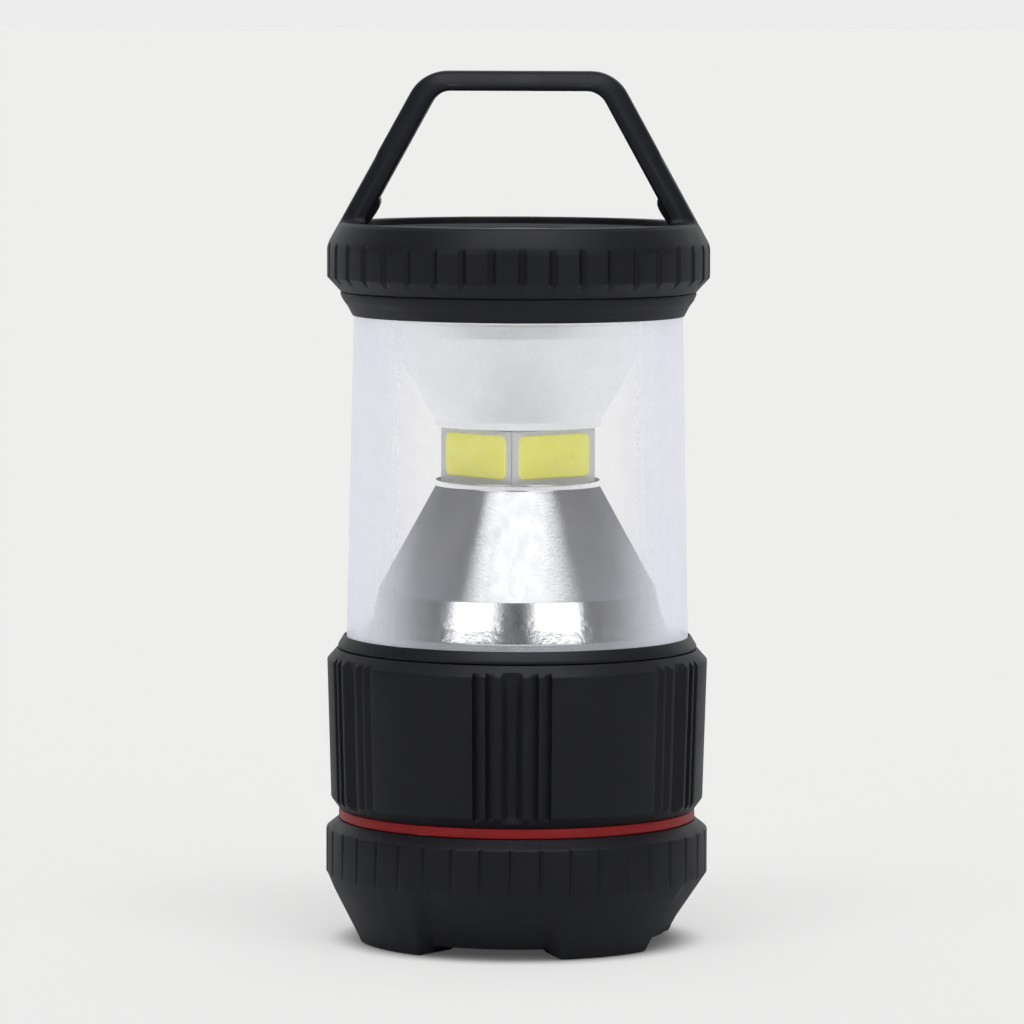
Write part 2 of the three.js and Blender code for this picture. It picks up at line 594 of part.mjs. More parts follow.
function handleCollar() {
  const bevelLow = LEG_REF.z - (GRIP_R - LEG_REF.r) / LEG_SLOPE;
  const bevelTop = RIM_Z - 0.8;
  const side = [[COLLAR_BORE_R, SEAM_Z], [SEAM_R, SEAM_Z], [GRIP_R, COLLAR_SIDE_LOW], [GRIP_R, bevelLow],
    [legLine(bevelTop), bevelTop], [legLine(bevelTop) - 0.9, RIM_Z]];
  const recess = [[RECESS_R, RIM_Z], [RECESS_R, 174.6], [26, 174.6], [26, 172.4], [COLLAR_BORE_R, 172.4]];
  let ring = solid(turned([...side, ...recess], RING_SIDES));
  const { outside, inside } = handleShape();
  const cone = turned([[0, bevelLow], [GRIP_R, bevelLow], [legLine(230), 230], [0, 230]], RING_SIDES);
  let handle = solid(upright(outside, HANDLE_DEPTH)).subtract(solid(upright(inside, HANDLE_DEPTH + 2)));
  handle = handle.intersect(solid(cone));
  handle = handle.subtract(solid(disc(RECESS_R, 160, RECESS_FLOOR_Z + 0.1, RING_SIDES)));
  ring = ring.add(handle);
  ring = cutAll(ring, gripNotches(COLLAR_NOTCH_WIDTH, COLLAR_SIDE_LOW - 1.6, bevelLow, TOP_NOTCH_TURN));
  const boss = disc(3.2, SEAM_Z, 173, 16);
  const bore = disc(1.5, 150, 170, SCREW_SIDES);
  for (const angle of BETWEEN_CELLS) {
    const { x, y } = around(COLLAR_SCREW_R, angle);
    ring = ring.add(solid(boss.clone().translate(x, y, 0)));
    ring = ring.subtract(solid(bore.clone().translate(x, y, 0)));
  }
  add('handle_collar', geometryOf(ring), RUBBER);
}

function switchGear() {
  const holeR = BUTTON_R + 0.4;
  let plate = solid(turned([[holeR, 174.9], [39.9, 174.9], [39.9, RECESS_FLOOR_Z], [holeR, RECESS_FLOOR_Z]],
    RING_SIDES));
  let board = solid(disc(18.6, 166.6, 168.1));
  const boss = disc(2.6, 168.4, 175.5, 16);
  const bore = disc(1.1, 160, 173, SCREW_SIDES);
  const hole = disc(1.3, 160, 170, SCREW_SIDES);
  [30, 150, 270].forEach((angle, i) => {
    const { x, y } = around(15.5, angle);
    plate = plate.add(solid(boss.clone().translate(x, y, 0)));
    plate = plate.subtract(solid(bore.clone().translate(x, y, 0)));
    board = board.subtract(solid(hole.clone().translate(x, y, 0)));
    screw(`board_screw_${i + 1}`, { x, y }, 166.4, 5, 1, 2.2, 0.8);
  });
  add('top_plate', geometryOf(plate), RUBBER);
  add('switch_board', geometryOf(board), GREEN_BOARD);
  const tact = solid(box(6, 6, 1.2, 0, 0, 168.8)).add(solid(disc(1.6, 169, 169.7, 16)));
  add('tact_switch', geometryOf(tact), BLACK_PLASTIC);
  add('power_button', turned([[0, 171.1], [2.6, 171.1], [2.6, 173.2], [10.4, 173.2], [10.4, 174.4],
    [BUTTON_R, 174.4], [BUTTON_R, 176.8], [BUTTON_R - 0.4, RECESS_FLOOR_Z], [0, 176.9]]), RUBBER);
  spring('button_spring', { x: 0, y: 0 }, 168.2, 173.1, 5.4, 5.4, 4, 0.35);
}

baseCap();
sealRing();
batteryHousing();
gripSleeve();
cells();
contacts();
contactTray();
lensTube();
lensBezel();
lowerReflector();
upperReflector();
heatSink();
ledPanels();
driver();
leads();
lensCollar();
handleCollar();
switchGear();

export default lantern;
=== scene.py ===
"""The camping lantern's looks: camera, light, materials and the detailed pieces for its CAD nodes.

Lengths in the tables below are millimetres and are turned into metres when a mesh is made.
Angles round the axis are degrees from the front (-Y) towards the right hand side (+X).
"""
import math

import bmesh
import bpy
import numpy as np
from mathutils import Matrix, Quaternion, Vector


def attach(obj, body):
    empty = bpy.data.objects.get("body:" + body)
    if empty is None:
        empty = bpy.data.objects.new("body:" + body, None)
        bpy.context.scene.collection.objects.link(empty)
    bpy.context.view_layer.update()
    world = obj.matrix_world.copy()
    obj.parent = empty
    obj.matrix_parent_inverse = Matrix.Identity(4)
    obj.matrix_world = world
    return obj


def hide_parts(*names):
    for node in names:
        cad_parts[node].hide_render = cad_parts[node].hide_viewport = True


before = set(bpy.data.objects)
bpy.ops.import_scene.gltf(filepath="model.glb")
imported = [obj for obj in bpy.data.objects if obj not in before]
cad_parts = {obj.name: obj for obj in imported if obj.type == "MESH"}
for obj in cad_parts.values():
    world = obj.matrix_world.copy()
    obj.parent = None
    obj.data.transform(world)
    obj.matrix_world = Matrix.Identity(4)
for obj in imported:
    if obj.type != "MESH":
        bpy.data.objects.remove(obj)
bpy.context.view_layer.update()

MM = 0.001

# ---------------------------------------------------------------- dimensions

GRIP_R = 47.5
NOTCHES = 40
LEG_SLOPE = 0.55
LEG_REF_R = 42.72
LEG_REF_Z = 181.9
SEAM_Z = 161.7
SEAM_R = 44.15
COLLAR_SIDE_LOW = 165.3
BEVEL_LOW = LEG_REF_Z - (GRIP_R - LEG_REF_R) / LEG_SLOPE
RIM_Z = 178.7
RECESS_R = 40.2
HANDLE_TOP_Z = 216.2
HANDLE_BAR = 4.9
HANDLE_LEG = 5.8
HANDLE_CORNER_R = 10.3
HANDLE_DEPTH = 14.0


def leg_line(z):
    """How far out the handle's straight outer line and the collar's upper bevel are at a height."""
    return LEG_REF_R + LEG_SLOPE * (LEG_REF_Z - z)


# ---------------------------------------------------------------- camera

CAMERA_AZIMUTH = 1.5
CAMERA_DISTANCE = 1.594
CAMERA_HEIGHT = 0.235
CAMERA_TARGET = Vector((-0.00142, 0, 0.1067))
CAMERA_ROLL = 0.2
CAMERA_LENS = 226
CAMERA_SENSOR = 36
CAMERA_REACH = 50


def make_camera():
    turn = math.radians(CAMERA_AZIMUTH)
    data = bpy.data.cameras.new("camera")
    data.lens = CAMERA_LENS
    data.sensor_width = CAMERA_SENSOR
    data.clip_end = CAMERA_REACH
    camera = bpy.data.objects.new("camera", data)
    ahead, aside = -CAMERA_DISTANCE * math.cos(turn), CAMERA_DISTANCE * math.sin(turn)
    camera.location = (aside, ahead, CAMERA_HEIGHT)
    look = (CAMERA_TARGET - camera.location).to_track_quat("-Z", "Y")
    camera.rotation_mode = "QUATERNION"
    camera.rotation_quaternion = look @ Quaternion((0, 0, 1), math.radians(CAMERA_ROLL))
    bpy.context.scene.collection.objects.link(camera)
    bpy.context.scene.camera = camera


make_camera()
bpy.context.scene.view_settings.view_transform = "Standard"

# ---------------------------------------------------------------- node helpers


class Nodes:
    """Short ways to add and link nodes in one material's or world's tree."""

    def __init__(self, tree):
        self.tree = tree

    def add(self, kind, **settings):
        node = self.tree.nodes.new(kind)
        inputs = settings.pop("inputs", {})
        for name, value in settings.items():
            setattr(node, name, value)
        for name, value in inputs.items():
            self.put(node.inputs[name], value)
        return node

    def put(self, socket, value):
        if isinstance(value, bpy.types.NodeSocket):
            self.tree.links.new(value, socket)
        elif isinstance(value, bpy.types.Node):
            self.tree.links.new(value.outputs[0], socket)
        else:
            socket.default_value = value

    def math(self, operation, a, b=0.0, clamp=False):
        node = self.add("ShaderNodeMath", operation=operation, use_clamp=clamp)
        self.put(node.inputs[0], a)
        self.put(node.inputs[1], b)
        return node.outputs[0]

    def span(self, value, low, high, to_low=0.0, to_high=1.0, smooth=False):
        kind = "SMOOTHSTEP" if smooth else "LINEAR"
        node = self.add("ShaderNodeMapRange", interpolation_type=kind)
        for name, number in zip(("Value", "From Min", "From Max", "To Min", "To Max"),
                                (value, low, high, to_low, to_high)):
            self.put(node.inputs[name], number)
        return node.outputs[0]

    def mix(self, factor, a, b):
        node = self.add("ShaderNodeMix", data_type="RGBA")
        self.put(node.inputs[0], factor)
        self.put(node.inputs[6], a)
        self.put(node.inputs[7], b)
        return node.outputs[2]

    def noise(self, place, scale, detail=3.0, roughness=0.55, distortion=0.0):
        return self.add("ShaderNodeTexNoise", inputs={
            "Vector": place, "Scale": scale, "Detail": detail, "Roughness": roughness,
            "Distortion": distortion}).outputs[0]

    def place(self, scale=(1, 1, 1)):
        coord = self.add("ShaderNodeTexCoord").outputs["Object"]
        if scale == (1, 1, 1):
            return coord
        return self.add("ShaderNodeMapping", inputs={"Vector": coord, "Scale": scale}).outputs[0]

    def bump(self, height, strength, distance, normal=None):
        inputs = {"Height": height, "Strength": strength, "Distance": distance}
        if normal is not None:
            inputs["Normal"] = normal
        return self.add("ShaderNodeBump", inputs=inputs).outputs[0]


def rgb(red, green, blue):
    return (red, green, blue, 1.0)


def seen_straight(nodes):
    """1 for what is seen directly or through clear plastic, 0 for what is mirrored or lights a surface."""
    rays = nodes.add("ShaderNodeLightPath").outputs
    bounced = nodes.math("ADD", rays["Glossy Depth"], rays["Diffuse Depth"])
    return nodes.math("LESS_THAN", bounced, 0.5)


def through_lens(nodes):
    """1 for mirrored rays that have gone through the lens wall, 0 for the others."""
    rays = nodes.add("ShaderNodeLightPath").outputs
    crossed = nodes.math("GREATER_THAN", rays["Transparent Depth"], 0.5)
    mirrored = nodes.math("GREATER_THAN", rays["Glossy Depth"], 0.5)
    straight = nodes.math("LESS_THAN", rays["Diffuse Depth"], 0.5)
    return nodes.math("MULTIPLY", crossed, nodes.math("MULTIPLY", mirrored, straight))


def new_material(name):
    material = bpy.data.materials.new(name)
    material.use_nodes = True
    nodes = Nodes(material.node_tree)
    shader = material.node_tree.nodes["Principled BSDF"]
    return material, nodes, shader


def edge_mask(nodes, low=0.53, high=0.62):
    point = nodes.add("ShaderNodeNewGeometry").outputs["Pointiness"]
    return nodes.span(point, low, high, smooth=True)


# ---------------------------------------------------------------- materials

# how much of the lens is milky, against how far its surface is turned away from the eye
LENS_HAZE = [
    (0.0, 0.03), (0.12, 0.045), (0.2, 0.08), (0.286, 0.19), (0.442, 0.38), (0.6, 0.52), (0.85, 0.66)]
# the share of that milkiness that mirrored and lighting rays meet
LENS_HAZE_BOUNCED = 0.3
WORN_RUBBER = (0.045, 0.046, 0.050, 1.0)
SETTLED_DUST = (0.09, 0.09, 0.088, 1.0)


def rubber(name, dark, light, rough, grain=2400.0, wear=0.22, gloss=0.32):
    """Black rubber or soft-touch plastic: fine grain, cloudy smudges, worn edges and a little dust."""
    material, n, shader = new_material(name)
    place = n.place()
    cloud = n.noise(place, 60, 5, 0.6, 0.4)
    speck = n.noise(place, 900, 2)
    colour = n.mix(n.span(cloud, 0.35, 0.7), rgb(*dark), rgb(*light))
    worn = n.math("MULTIPLY", edge_mask(n), n.span(speck, 0.35, 0.6, 0.05, wear))
    colour = n.mix(worn, colour, WORN_RUBBER)
    up = n.add("ShaderNodeSeparateXYZ", inputs={
        "Vector": n.add("ShaderNodeNewGeometry").outputs["Normal"]}).outputs[2]
    dust = n.math("MULTIPLY", n.span(up, 0.55, 1.0, 0.0, 0.16), n.span(speck, 0.4, 0.75))
    colour = n.mix(dust, colour, SETTLED_DUST)
    n.put(shader.inputs["Base Color"], colour)
    smudge = n.noise(place, 38, 4, 0.65, 0.8)
    n.put(shader.inputs["Roughness"], n.span(smudge, 0.3, 0.75, rough - 0.07, rough + 0.07))
    pore = n.noise(place, grain, 2, 0.5)
    swell = n.noise(place, 160, 2)
    wave = n.bump(swell, 0.10, 0.0003)
    n.put(shader.inputs["Normal"], n.bump(pore, 0.16, 0.00012, wave))
    shader.inputs["Specular IOR Level"].default_value = gloss
    return material


def red_rubber():
    material, n, shader = new_material("red_silicone_ring")
    place = n.place()
    streak = n.noise(n.place((1, 1, 0.03)), 700, 3, 0.6)
    cloud = n.noise(place, 70, 4, 0.6)
    colour = n.mix(n.span(cloud, 0.3, 0.7), rgb(0.30, 0.0085, 0.0100), rgb(0.39, 0.0130, 0.015))
    colour = n.mix(n.span(streak, 0.45, 0.8, 0.0, 0.35), colour, rgb(0.36, 0.03, 0.034))
    colour = n.mix(n.math("MULTIPLY", edge_mask(n), 0.5), colour, rgb(0.45, 0.13, 0.13))
    n.put(shader.inputs["Base Color"], colour)
    n.put(shader.inputs["Roughness"], n.span(streak, 0.3, 0.8, 0.36, 0.56))
    n.put(shader.inputs["Normal"], n.bump(streak, 0.25, 0.0001))
    shader.inputs["Specular IOR Level"].default_value = 0.3
    return material


def frosted_lens():
    """Clear plastic with a fine haze, open where it is seen squarely and milky where it is seen edge on. The
    milky part has a painted glow: it gives off a little light of its own.
    """
    material, n, shader = new_material("frosted_lens")
    place = n.place()
    facing = n.add("ShaderNodeLayerWeight", inputs={"Blend": 0.5}).outputs["Facing"]
    curve = n.add("ShaderNodeValToRGB", inputs={"Fac": facing})
    ramp = curve.color_ramp
    while len(ramp.elements) < len(LENS_HAZE):
        ramp.elements.new(0.5)
    for element, (position, level) in zip(ramp.elements, LENS_HAZE):
        element.position = position
        element.color = rgb(level, level, level)
    mottle = n.noise(place, 220, 3, 0.6)
    pebble = n.noise(place, 1500, 2, 0.5)
    coarse = n.span(mottle, 0.35, 0.75, -0.006, 0.012)
    grain = n.math("ADD", coarse, n.span(pebble, 0.3, 0.7, -0.02, 0.02))
    haze = n.math("ADD", curve.outputs[0], grain, clamp=True)
    share = n.span(seen_straight(n), 0.0, 1.0, LENS_HAZE_BOUNCED, 1.0)
    n.put(shader.inputs["Alpha"], n.math("MULTIPLY", haze, share))
    tint = n.span(n.noise(place, 40, 3), 0.3, 0.7)
    n.put(shader.inputs["Base Color"], n.mix(tint, rgb(0.90, 0.90, 0.97), rgb(0.93, 0.93, 0.98)))
    # painted glow: a faint lavender light of its own, shown where the lens is milky
    shader.inputs["Emission Color"].default_value = rgb(0.84, 0.84, 0.98)
    shader.inputs["Emission Strength"].default_value = 0.27
    n.put(shader.inputs["Roughness"], n.span(mottle, 0.3, 0.8, 0.5, 0.6))
    n.put(shader.inputs["Normal"], n.bump(pebble, 0.05, 0.00004))
    return material


def mirror_coat(name, grain_low, grain_high, mottled_below=None):
    """Vacuum metallised plastic, satin on the cones and with an orange peel surface low down."""
    material, n, shader = new_material(name)
    place = n.place()
    shader.inputs["Metallic"].default_value = 1.0
    stain = n.span(n.noise(place, 50, 4, 0.6, 0.5), 0.3, 0.7)
    n.put(shader.inputs["Base Color"], n.mix(stain, rgb(0.86, 0.865, 0.87), rgb(0.94, 0.94, 0.945)))
    streak = n.noise(n.place((1, 1, 0.08)), 420, 3, 0.6)
    n.put(shader.inputs["Roughness"], n.span(streak, 0.3, 0.75, grain_low, grain_high))
    fine = n.noise(place, 1500, 2, 0.5)
    if mottled_below is None:
        n.put(shader.inputs["Normal"], n.bump(fine, 0.05, 0.0001))
        return material
    peel = n.noise(place, 620, 2, 0.5)
    height = n.add("ShaderNodeSeparateXYZ", inputs={"Vector": place}).outputs[2]
    low = n.span(height, mottled_below - 0.001, mottled_below - 0.006)
    strength = n.math("ADD", n.math("MULTIPLY", low, 0.42), 0.02)
    n.put(shader.inputs["Normal"], n.bump(peel, strength, 0.00015, n.bump(fine, 0.16, 0.0001)))
    return material


def plastic(name, dark, light, rough, grain=1200.0, metal=0.0, bump=0.12):
    """Moulded or plated surfaces inside the lantern, seen a little or when it is opened."""
    material, n, shader = new_material(name)
    place = n.place()
    shader.inputs["Metallic"].default_value = metal
    cloud = n.noise(place, 90, 4, 0.6, 0.3)
    fine = n.noise(place, grain, 3, 0.6)
    colour = n.mix(n.span(cloud, 0.3, 0.7), rgb(*dark), rgb(*light))
    worn = tuple(min(1.0, 1.6 * c + 0.02) for c in light)
    n.put(shader.inputs["Base Color"], n.mix(n.math("MULTIPLY", edge_mask(n), 0.4), colour, rgb(*worn)))
    n.put(shader.inputs["Roughness"], n.span(fine, 0.3, 0.75, rough - 0.06, rough + 0.08))
    n.put(shader.inputs["Normal"], n.bump(fine, bump, 0.00012))
    return material


def phosphor():
    """The LED's yellow silicone field with the faint rows of dies under it."""
    material, n, shader = new_material("led_phosphor_field")
    place = n.place()
    grain = n.noise(place, 1600, 3, 0.6)
    cloud = n.noise(place, 160, 3, 0.5)
    dies = n.add("ShaderNodeTexVoronoi", inputs={"Vector": place, "Scale": 300.0, "Randomness": 0.35})
    colour = n.mix(n.span(cloud, 0.3, 0.7), rgb(0.88, 0.84, 0.16), rgb(0.94, 0.91, 0.24))
    colour = n.mix(n.span(dies.outputs["Distance"], 0.0, 0.28, 0.3, 0.0), colour, rgb(0.80, 0.66, 0.08))
    colour = n.mix(n.span(grain, 0.4, 0.8, 0.0, 0.2), colour, rgb(0.96, 0.94, 0.50))
    # painted glow: the field gives off a faint yellow light of its own, though the LEDs are off
    shader.inputs["Emission Color"].default_value = rgb(0.62, 0.60, 0.05)
    shader.inputs["Emission Strength"].default_value = 0.37
    n.put(shader.inputs["Base Color"], colour)
    n.put(shader.inputs["Roughness"], n.span(grain, 0.3, 0.7, 0.28, 0.42))
    n.put(shader.inputs["Normal"], n.bump(grain, 0.12, 0.00012))
    return material


def circuit_board():
    """Green solder mask with paler tracks and tinned pads."""
    material, n, shader = new_material("circuit_board")
    place = n.place()
    cells = {"Vector": place, "Scale": 260.0}
    track = n.add("ShaderNodeTexVoronoi", feature="DISTANCE_TO_EDGE", inputs=cells)
    line = n.span(track.outputs["Distance"], 0.02, 0.05, 1.0, 0.0)
    cloud = n.noise(place, 120, 3)
    colour = n.mix(n.span(cloud, 0.3, 0.7), rgb(0.012, 0.075, 0.032), rgb(0.018, 0.10, 0.045))
    n.put(shader.inputs["Base Color"], n.mix(n.math("MULTIPLY", line, 0.6), colour, rgb(0.05, 0.22, 0.10)))
    n.put(shader.inputs["Roughness"], n.span(cloud, 0.3, 0.7, 0.28, 0.42))
    n.put(shader.inputs["Normal"], n.bump(line, 0.3, 0.00004))
    return material


BREAK_Z = 87.2
SOFT_TOUCH = rubber("soft_touch_plastic", (0.0064, 0.0068, 0.0116), (0.0085, 0.0089, 0.0141), 0.47)
GRIP = rubber("grip_rubber", (0.0050, 0.0054, 0.0094), (0.0067, 0.0071, 0.0114), 0.50, 2000.0, gloss=0.31)
TOP_DISC = rubber(
    "top_disc_plastic", (0.0030, 0.0032, 0.0044), (0.0044, 0.0046, 0.0058), 0.66, 1500.0, 0.15, 0.12)
RED = red_rubber()
LENS = frosted_lens()
CONE = mirror_coat("metallised_cone", 0.16, 0.24, mottled_below=(BREAK_Z - 0.4) * MM)
FUNNEL = mirror_coat("metallised_funnel", 0.30, 0.38)
PHOSPHOR = phosphor()
BOARD = circuit_board()
LED_BOARD = plastic("led_board_white", (0.90, 0.90, 0.885), (0.96, 0.96, 0.95), 0.42, 1400.0)
BLACK_PLASTIC = plastic("black_moulding", (0.012, 0.012, 0.013), (0.020, 0.020, 0.022), 0.46)
ALUMINIUM = plastic("cast_aluminium", (0.55, 0.56, 0.58), (0.66, 0.67, 0.69), 0.38, 900.0, 1.0, 0.2)
ZINC = plastic("zinc_plated_steel", (0.50, 0.51, 0.52), (0.68, 0.69, 0.71), 0.30, 1500.0, 1.0)
BRASS = plastic("contact_brass", (0.60, 0.43, 0.17), (0.74, 0.55, 0.24), 0.30, 1500.0, 1.0)
SILICONE = plastic("white_silicone", (0.62, 0.62, 0.60), (0.72, 0.72, 0.70), 0.58)
CELL_CAN = plastic("cell_jacket", (0.035, 0.050, 0.070), (0.055, 0.072, 0.095), 0.32, 700.0, 0.3, 0.05)
WIRE_RED = plastic("wire_red", (0.36, 0.012, 0.012), (0.48, 0.020, 0.020), 0.42)
WIRE_BLACK = plastic("wire_black", (0.010, 0.010, 0.010), (0.018, 0.018, 0.018), 0.42)

NODE_MATERIALS = {
    "led_panel": LED_BOARD, "heat_sink": ALUMINIUM, "battery_housing": BLACK_PLASTIC,
    "contact_tray": BLACK_PLASTIC, "tact_switch": BLACK_PLASTIC, "driver_chip": BLACK_PLASTIC,
    "driver_inductor": BLACK_PLASTIC, "driver_capacitor": ALUMINIUM, "driver_board": BOARD,
    "switch_board": BOARD, "board_screw": ZINC, "collar_screw": ZINC, "driver_screw": ZINC,
    "reflector_screw": ZINC, "button_spring": ZINC, "lower_spring": ZINC, "upper_spring": ZINC,
    "lens_gasket": SILICONE, "cell_": CELL_CAN, "upper_contact": BRASS, "lower_contact": BRASS,
    "return_strip": BRASS, "lead_red": WIRE_RED, "lead_black": WIRE_BLACK,
}


def paint_nodes():
    for name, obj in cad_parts.items():
        for prefix, material in NODE_MATERIALS.items():
            if name.startswith(prefix):
                for slot in obj.material_slots:
                    slot.material = material


paint_nodes()

# ---------------------------------------------------------------- mesh helpers


def smoothstep(value):
    t = np.clip(value, 0.0, 1.0)
    return t * t * (3 - 2 * t)


def filleted(corners, steps=4):
    """A closed outline from (r, z, fillet radius) corners, each rounded with an arc."""
    outline = []
    count = len(corners)
    for i, (r, z, radius) in enumerate(corners):
        here = Vector((r, z))
        before = Vector(corners[i - 1][:2]) - here
        after = Vector(corners[(i + 1) % count][:2]) - here
        if radius <= 0:
            outline.append((r, z))
            continue
        a, b = before.normalized(), after.normalized()
        half = a.angle(b) / 2
        reach = min(radius / math.tan(half), 0.49 * before.length, 0.49 * after.length)
        true_radius = reach * math.tan(half)
        centre = here + (a + b).normalized() * (true_radius / math.sin(half))
        start, end = here + a * reach - centre, here + b * reach - centre
        sweep = start.angle_signed(end)
        for k in range(steps + 1):
            angle = -sweep * k / steps
            outline.append(tuple(centre + Matrix.Rotation(angle, 2) @ start))
    return outline


def spaced(outline, longest, where=None, closed=True):
    """The outline with extra points: no step is longer than `longest` where where(r, z) holds."""
    result = []
    count = len(outline)
    for i in range(count if closed else count - 1):
        (r0, z0), (r1, z1) = outline[i], outline[(i + 1) % count]
        result.append((r0, z0))
        middle = ((r0 + r1) / 2, (z0 + z1) / 2)
        if where is None or where(*middle):
            parts = max(1, math.ceil(math.hypot(r1 - r0, z1 - z0) / longest))
            for k in range(1, parts):
                result.append((r0 + (r1 - r0) * k / parts, z0 + (z1 - z0) * k / parts))
    if not closed:
        result.append(outline[-1])
    return result


SHARP_EDGE = 32.0


def shade_smooth(mesh):
    mesh.polygons.foreach_set("use_smooth", [True] * len(mesh.polygons))
    mesh.set_sharp_from_angle(angle=math.radians(SHARP_EDGE))


def strips(columns, rows, round_trip):
    """Quads between neighbouring loops of points, and from the last loop to the first for a round trip."""
    faces = []
    for i in range(columns if round_trip else columns - 1):
        k = (i + 1) % columns
        for j in range(rows):
            m = (j + 1) % rows
            faces.append((i * rows + j, k * rows + j, k * rows + m, i * rows + m))
    return faces


def capped(columns, rows):
    """Loops of points joined in a row, with a flat face on the first and the last loop."""
    ends = [tuple(range(rows)), tuple((columns - 1) * rows + j for j in range(rows))]
    return strips(columns, rows, False) + ends


def mesh_object(name, points, faces, material):
    """A mesh object from points in millimetres, faces turned outwards and smooth between sharp edges."""
    mesh = bpy.data.meshes.new(name)
    mesh.from_pydata([tuple(p) for p in np.asarray(points) * MM], [], faces)
    work = bmesh.new()
    work.from_mesh(mesh)
    bmesh.ops.recalc_face_normals(work, faces=work.faces)
    work.to_mesh(mesh)
    work.free()
    shade_smooth(mesh)
    mesh.materials.append(material)
    obj = bpy.data.objects.new(name, mesh)
    bpy.context.scene.collection.objects.link(obj)
    return obj


def swept(name, angles, radii, heights, material, poles=False):
    """A body round the axis: one row of (radius, height) for each angle.

    With poles, each row's first and last point lie on the axis; otherwise each row is a closed loop."""
    turn = np.radians(angles)[:, None]
    points = np.stack([radii * np.sin(turn), -radii * np.cos(turn), heights], axis=-1)
    columns, rows = radii.shape
    if not poles:
        return mesh_object(name, points.reshape(-1, 3), strips(columns, rows, True), material)
    inner = points[:, 1:-1].reshape(-1, 3)
    first, last = points[0, 0], points[0, -1]
    width = rows - 2
    low, high = len(inner), len(inner) + 1
    faces = []
    for i in range(columns):
        k = (i + 1) % columns
        faces.append((low, k * width, i * width))
        for j in range(width - 1):
            faces.append((i * width + j, k * width + j, k * width + j + 1, i * width + j + 1))
        faces.append((high, i * width + width - 1, k * width + width - 1))
    return mesh_object(name, np.vstack([inner, first, last]), faces, material)


def outline_rows(outline, angles):
    """The radii and the heights of one outline, repeated for every angle."""
    radii, heights = np.array(outline).T
    return np.tile(radii, (len(angles), 1)), np.tile(heights, (len(angles), 1))


def lathed(name, outline, material, sides=180, poles=False):
    """A plain body of revolution from an outline of (r, z) points."""
    angles = np.arange(sides) * 360.0 / sides
    radii, heights = outline_rows(outline, angles)
    return swept(name, angles, radii, heights, material, poles)


def column_angles(period, local, step):
    """Angles round the axis: the local angles about each multiple of `period`, with even steps between."""
    angles = set()
    for i in range(round(360 / period)):
        angles.update(round((i * period + a) % 360, 4) for a in local)
    ordered = sorted(angles)
    filled = []
    for a, b in zip(ordered, ordered[1:] + [ordered[0] + 360]):
        parts = max(1, math.ceil((b - a) / step))
        filled.extend(a + (b - a) * k / parts for k in range(parts))
    return np.array(filled)


def offset_from(angles, period, turn=0.0):
    """The signed angle from the nearest multiple of `period`, turned by `turn`."""
    return (angles - turn + period / 2) % period - period / 2


# ---------------------------------------------------------------- top collar and handle

TOP_NOTCH_TURN = 2.7
TOP_NOTCH_HALF = 1.1
TOP_NOTCH_DEPTH = 0.85
TOP_NOTCH_LOW_Z = 165.6
TOP_NOTCH_HIGH_Z = 172.9
RIM_EDGE_R = 44.2
RECESS_FLOOR_Z = 174.6
DISC_SEAT_Z = 172.4
DISC_SEAT_R = 26.0
COLLAR_BORE_R = 43.0


def collar_ring():
    """The collar without its handle, its notches sunk with a soft V and fading out at both ends."""
    shoulder_z = RIM_Z - 0.8
    outline = filleted([
        (COLLAR_BORE_R, SEAM_Z, 0.0), (SEAM_R, SEAM_Z, 0.25), (GRIP_R, COLLAR_SIDE_LOW, 0.6),
        (GRIP_R, BEVEL_LOW, 5.0), (leg_line(shoulder_z), shoulder_z, 0.7), (RIM_EDGE_R, RIM_Z, 0.5),
        (RECESS_R, RIM_Z, 0.45), (RECESS_R, RECESS_FLOOR_Z, 0.0), (DISC_SEAT_R, RECESS_FLOOR_Z, 0.0),
        (DISC_SEAT_R, DISC_SEAT_Z, 0.0), (COLLAR_BORE_R, DISC_SEAT_Z, 0.0)])
    notch_end = RIM_Z - 2.7
    outline = np.array(spaced(outline, 0.5, lambda r, z: r > RIM_EDGE_R and z < notch_end))
    pitch = 360 / NOTCHES
    reach = [0.0, 0.35, 0.5, 0.65, 0.8, 0.95, 1.1, 1.25, 1.6]
    local = [TOP_NOTCH_TURN + math.degrees(side * s / GRIP_R) for s in reach for side in (-1, 1)]
    angles = column_angles(pitch, local, 2.0)
    across = np.radians(offset_from(angles, pitch, TOP_NOTCH_TURN)) * GRIP_R
    window = np.clip(1 - np.abs(across / TOP_NOTCH_HALF) ** 1.4, 0, 1)[:, None]
    r, z = outline_rows(outline, angles)
    side = (r > RIM_EDGE_R + 0.1) & (z > SEAM_Z + 0.8) & (z < notch_end)
    deeper_low = 0.75 * smoothstep((TOP_NOTCH_LOW_Z - z) / 2.2)
    shallower_high = 0.9 * smoothstep((z - TOP_NOTCH_HIGH_Z) / 1.8)
    floor = GRIP_R - TOP_NOTCH_DEPTH - deeper_low + shallower_high
    r = np.where(side, r - window * np.maximum(0.0, r - floor), r)
    return swept("collar_ring", angles, r, z, SOFT_TOUCH)


# how far above the rim the handle's lowest cross sections are, close together where it flares out
HANDLE_FOOT_STEPS = (-2.1, -0.7, 0.0, 0.3, 0.6, 1.0, 1.5, 2.1, 2.8, 3.8)
HANDLE_FLARE_R = 1.6


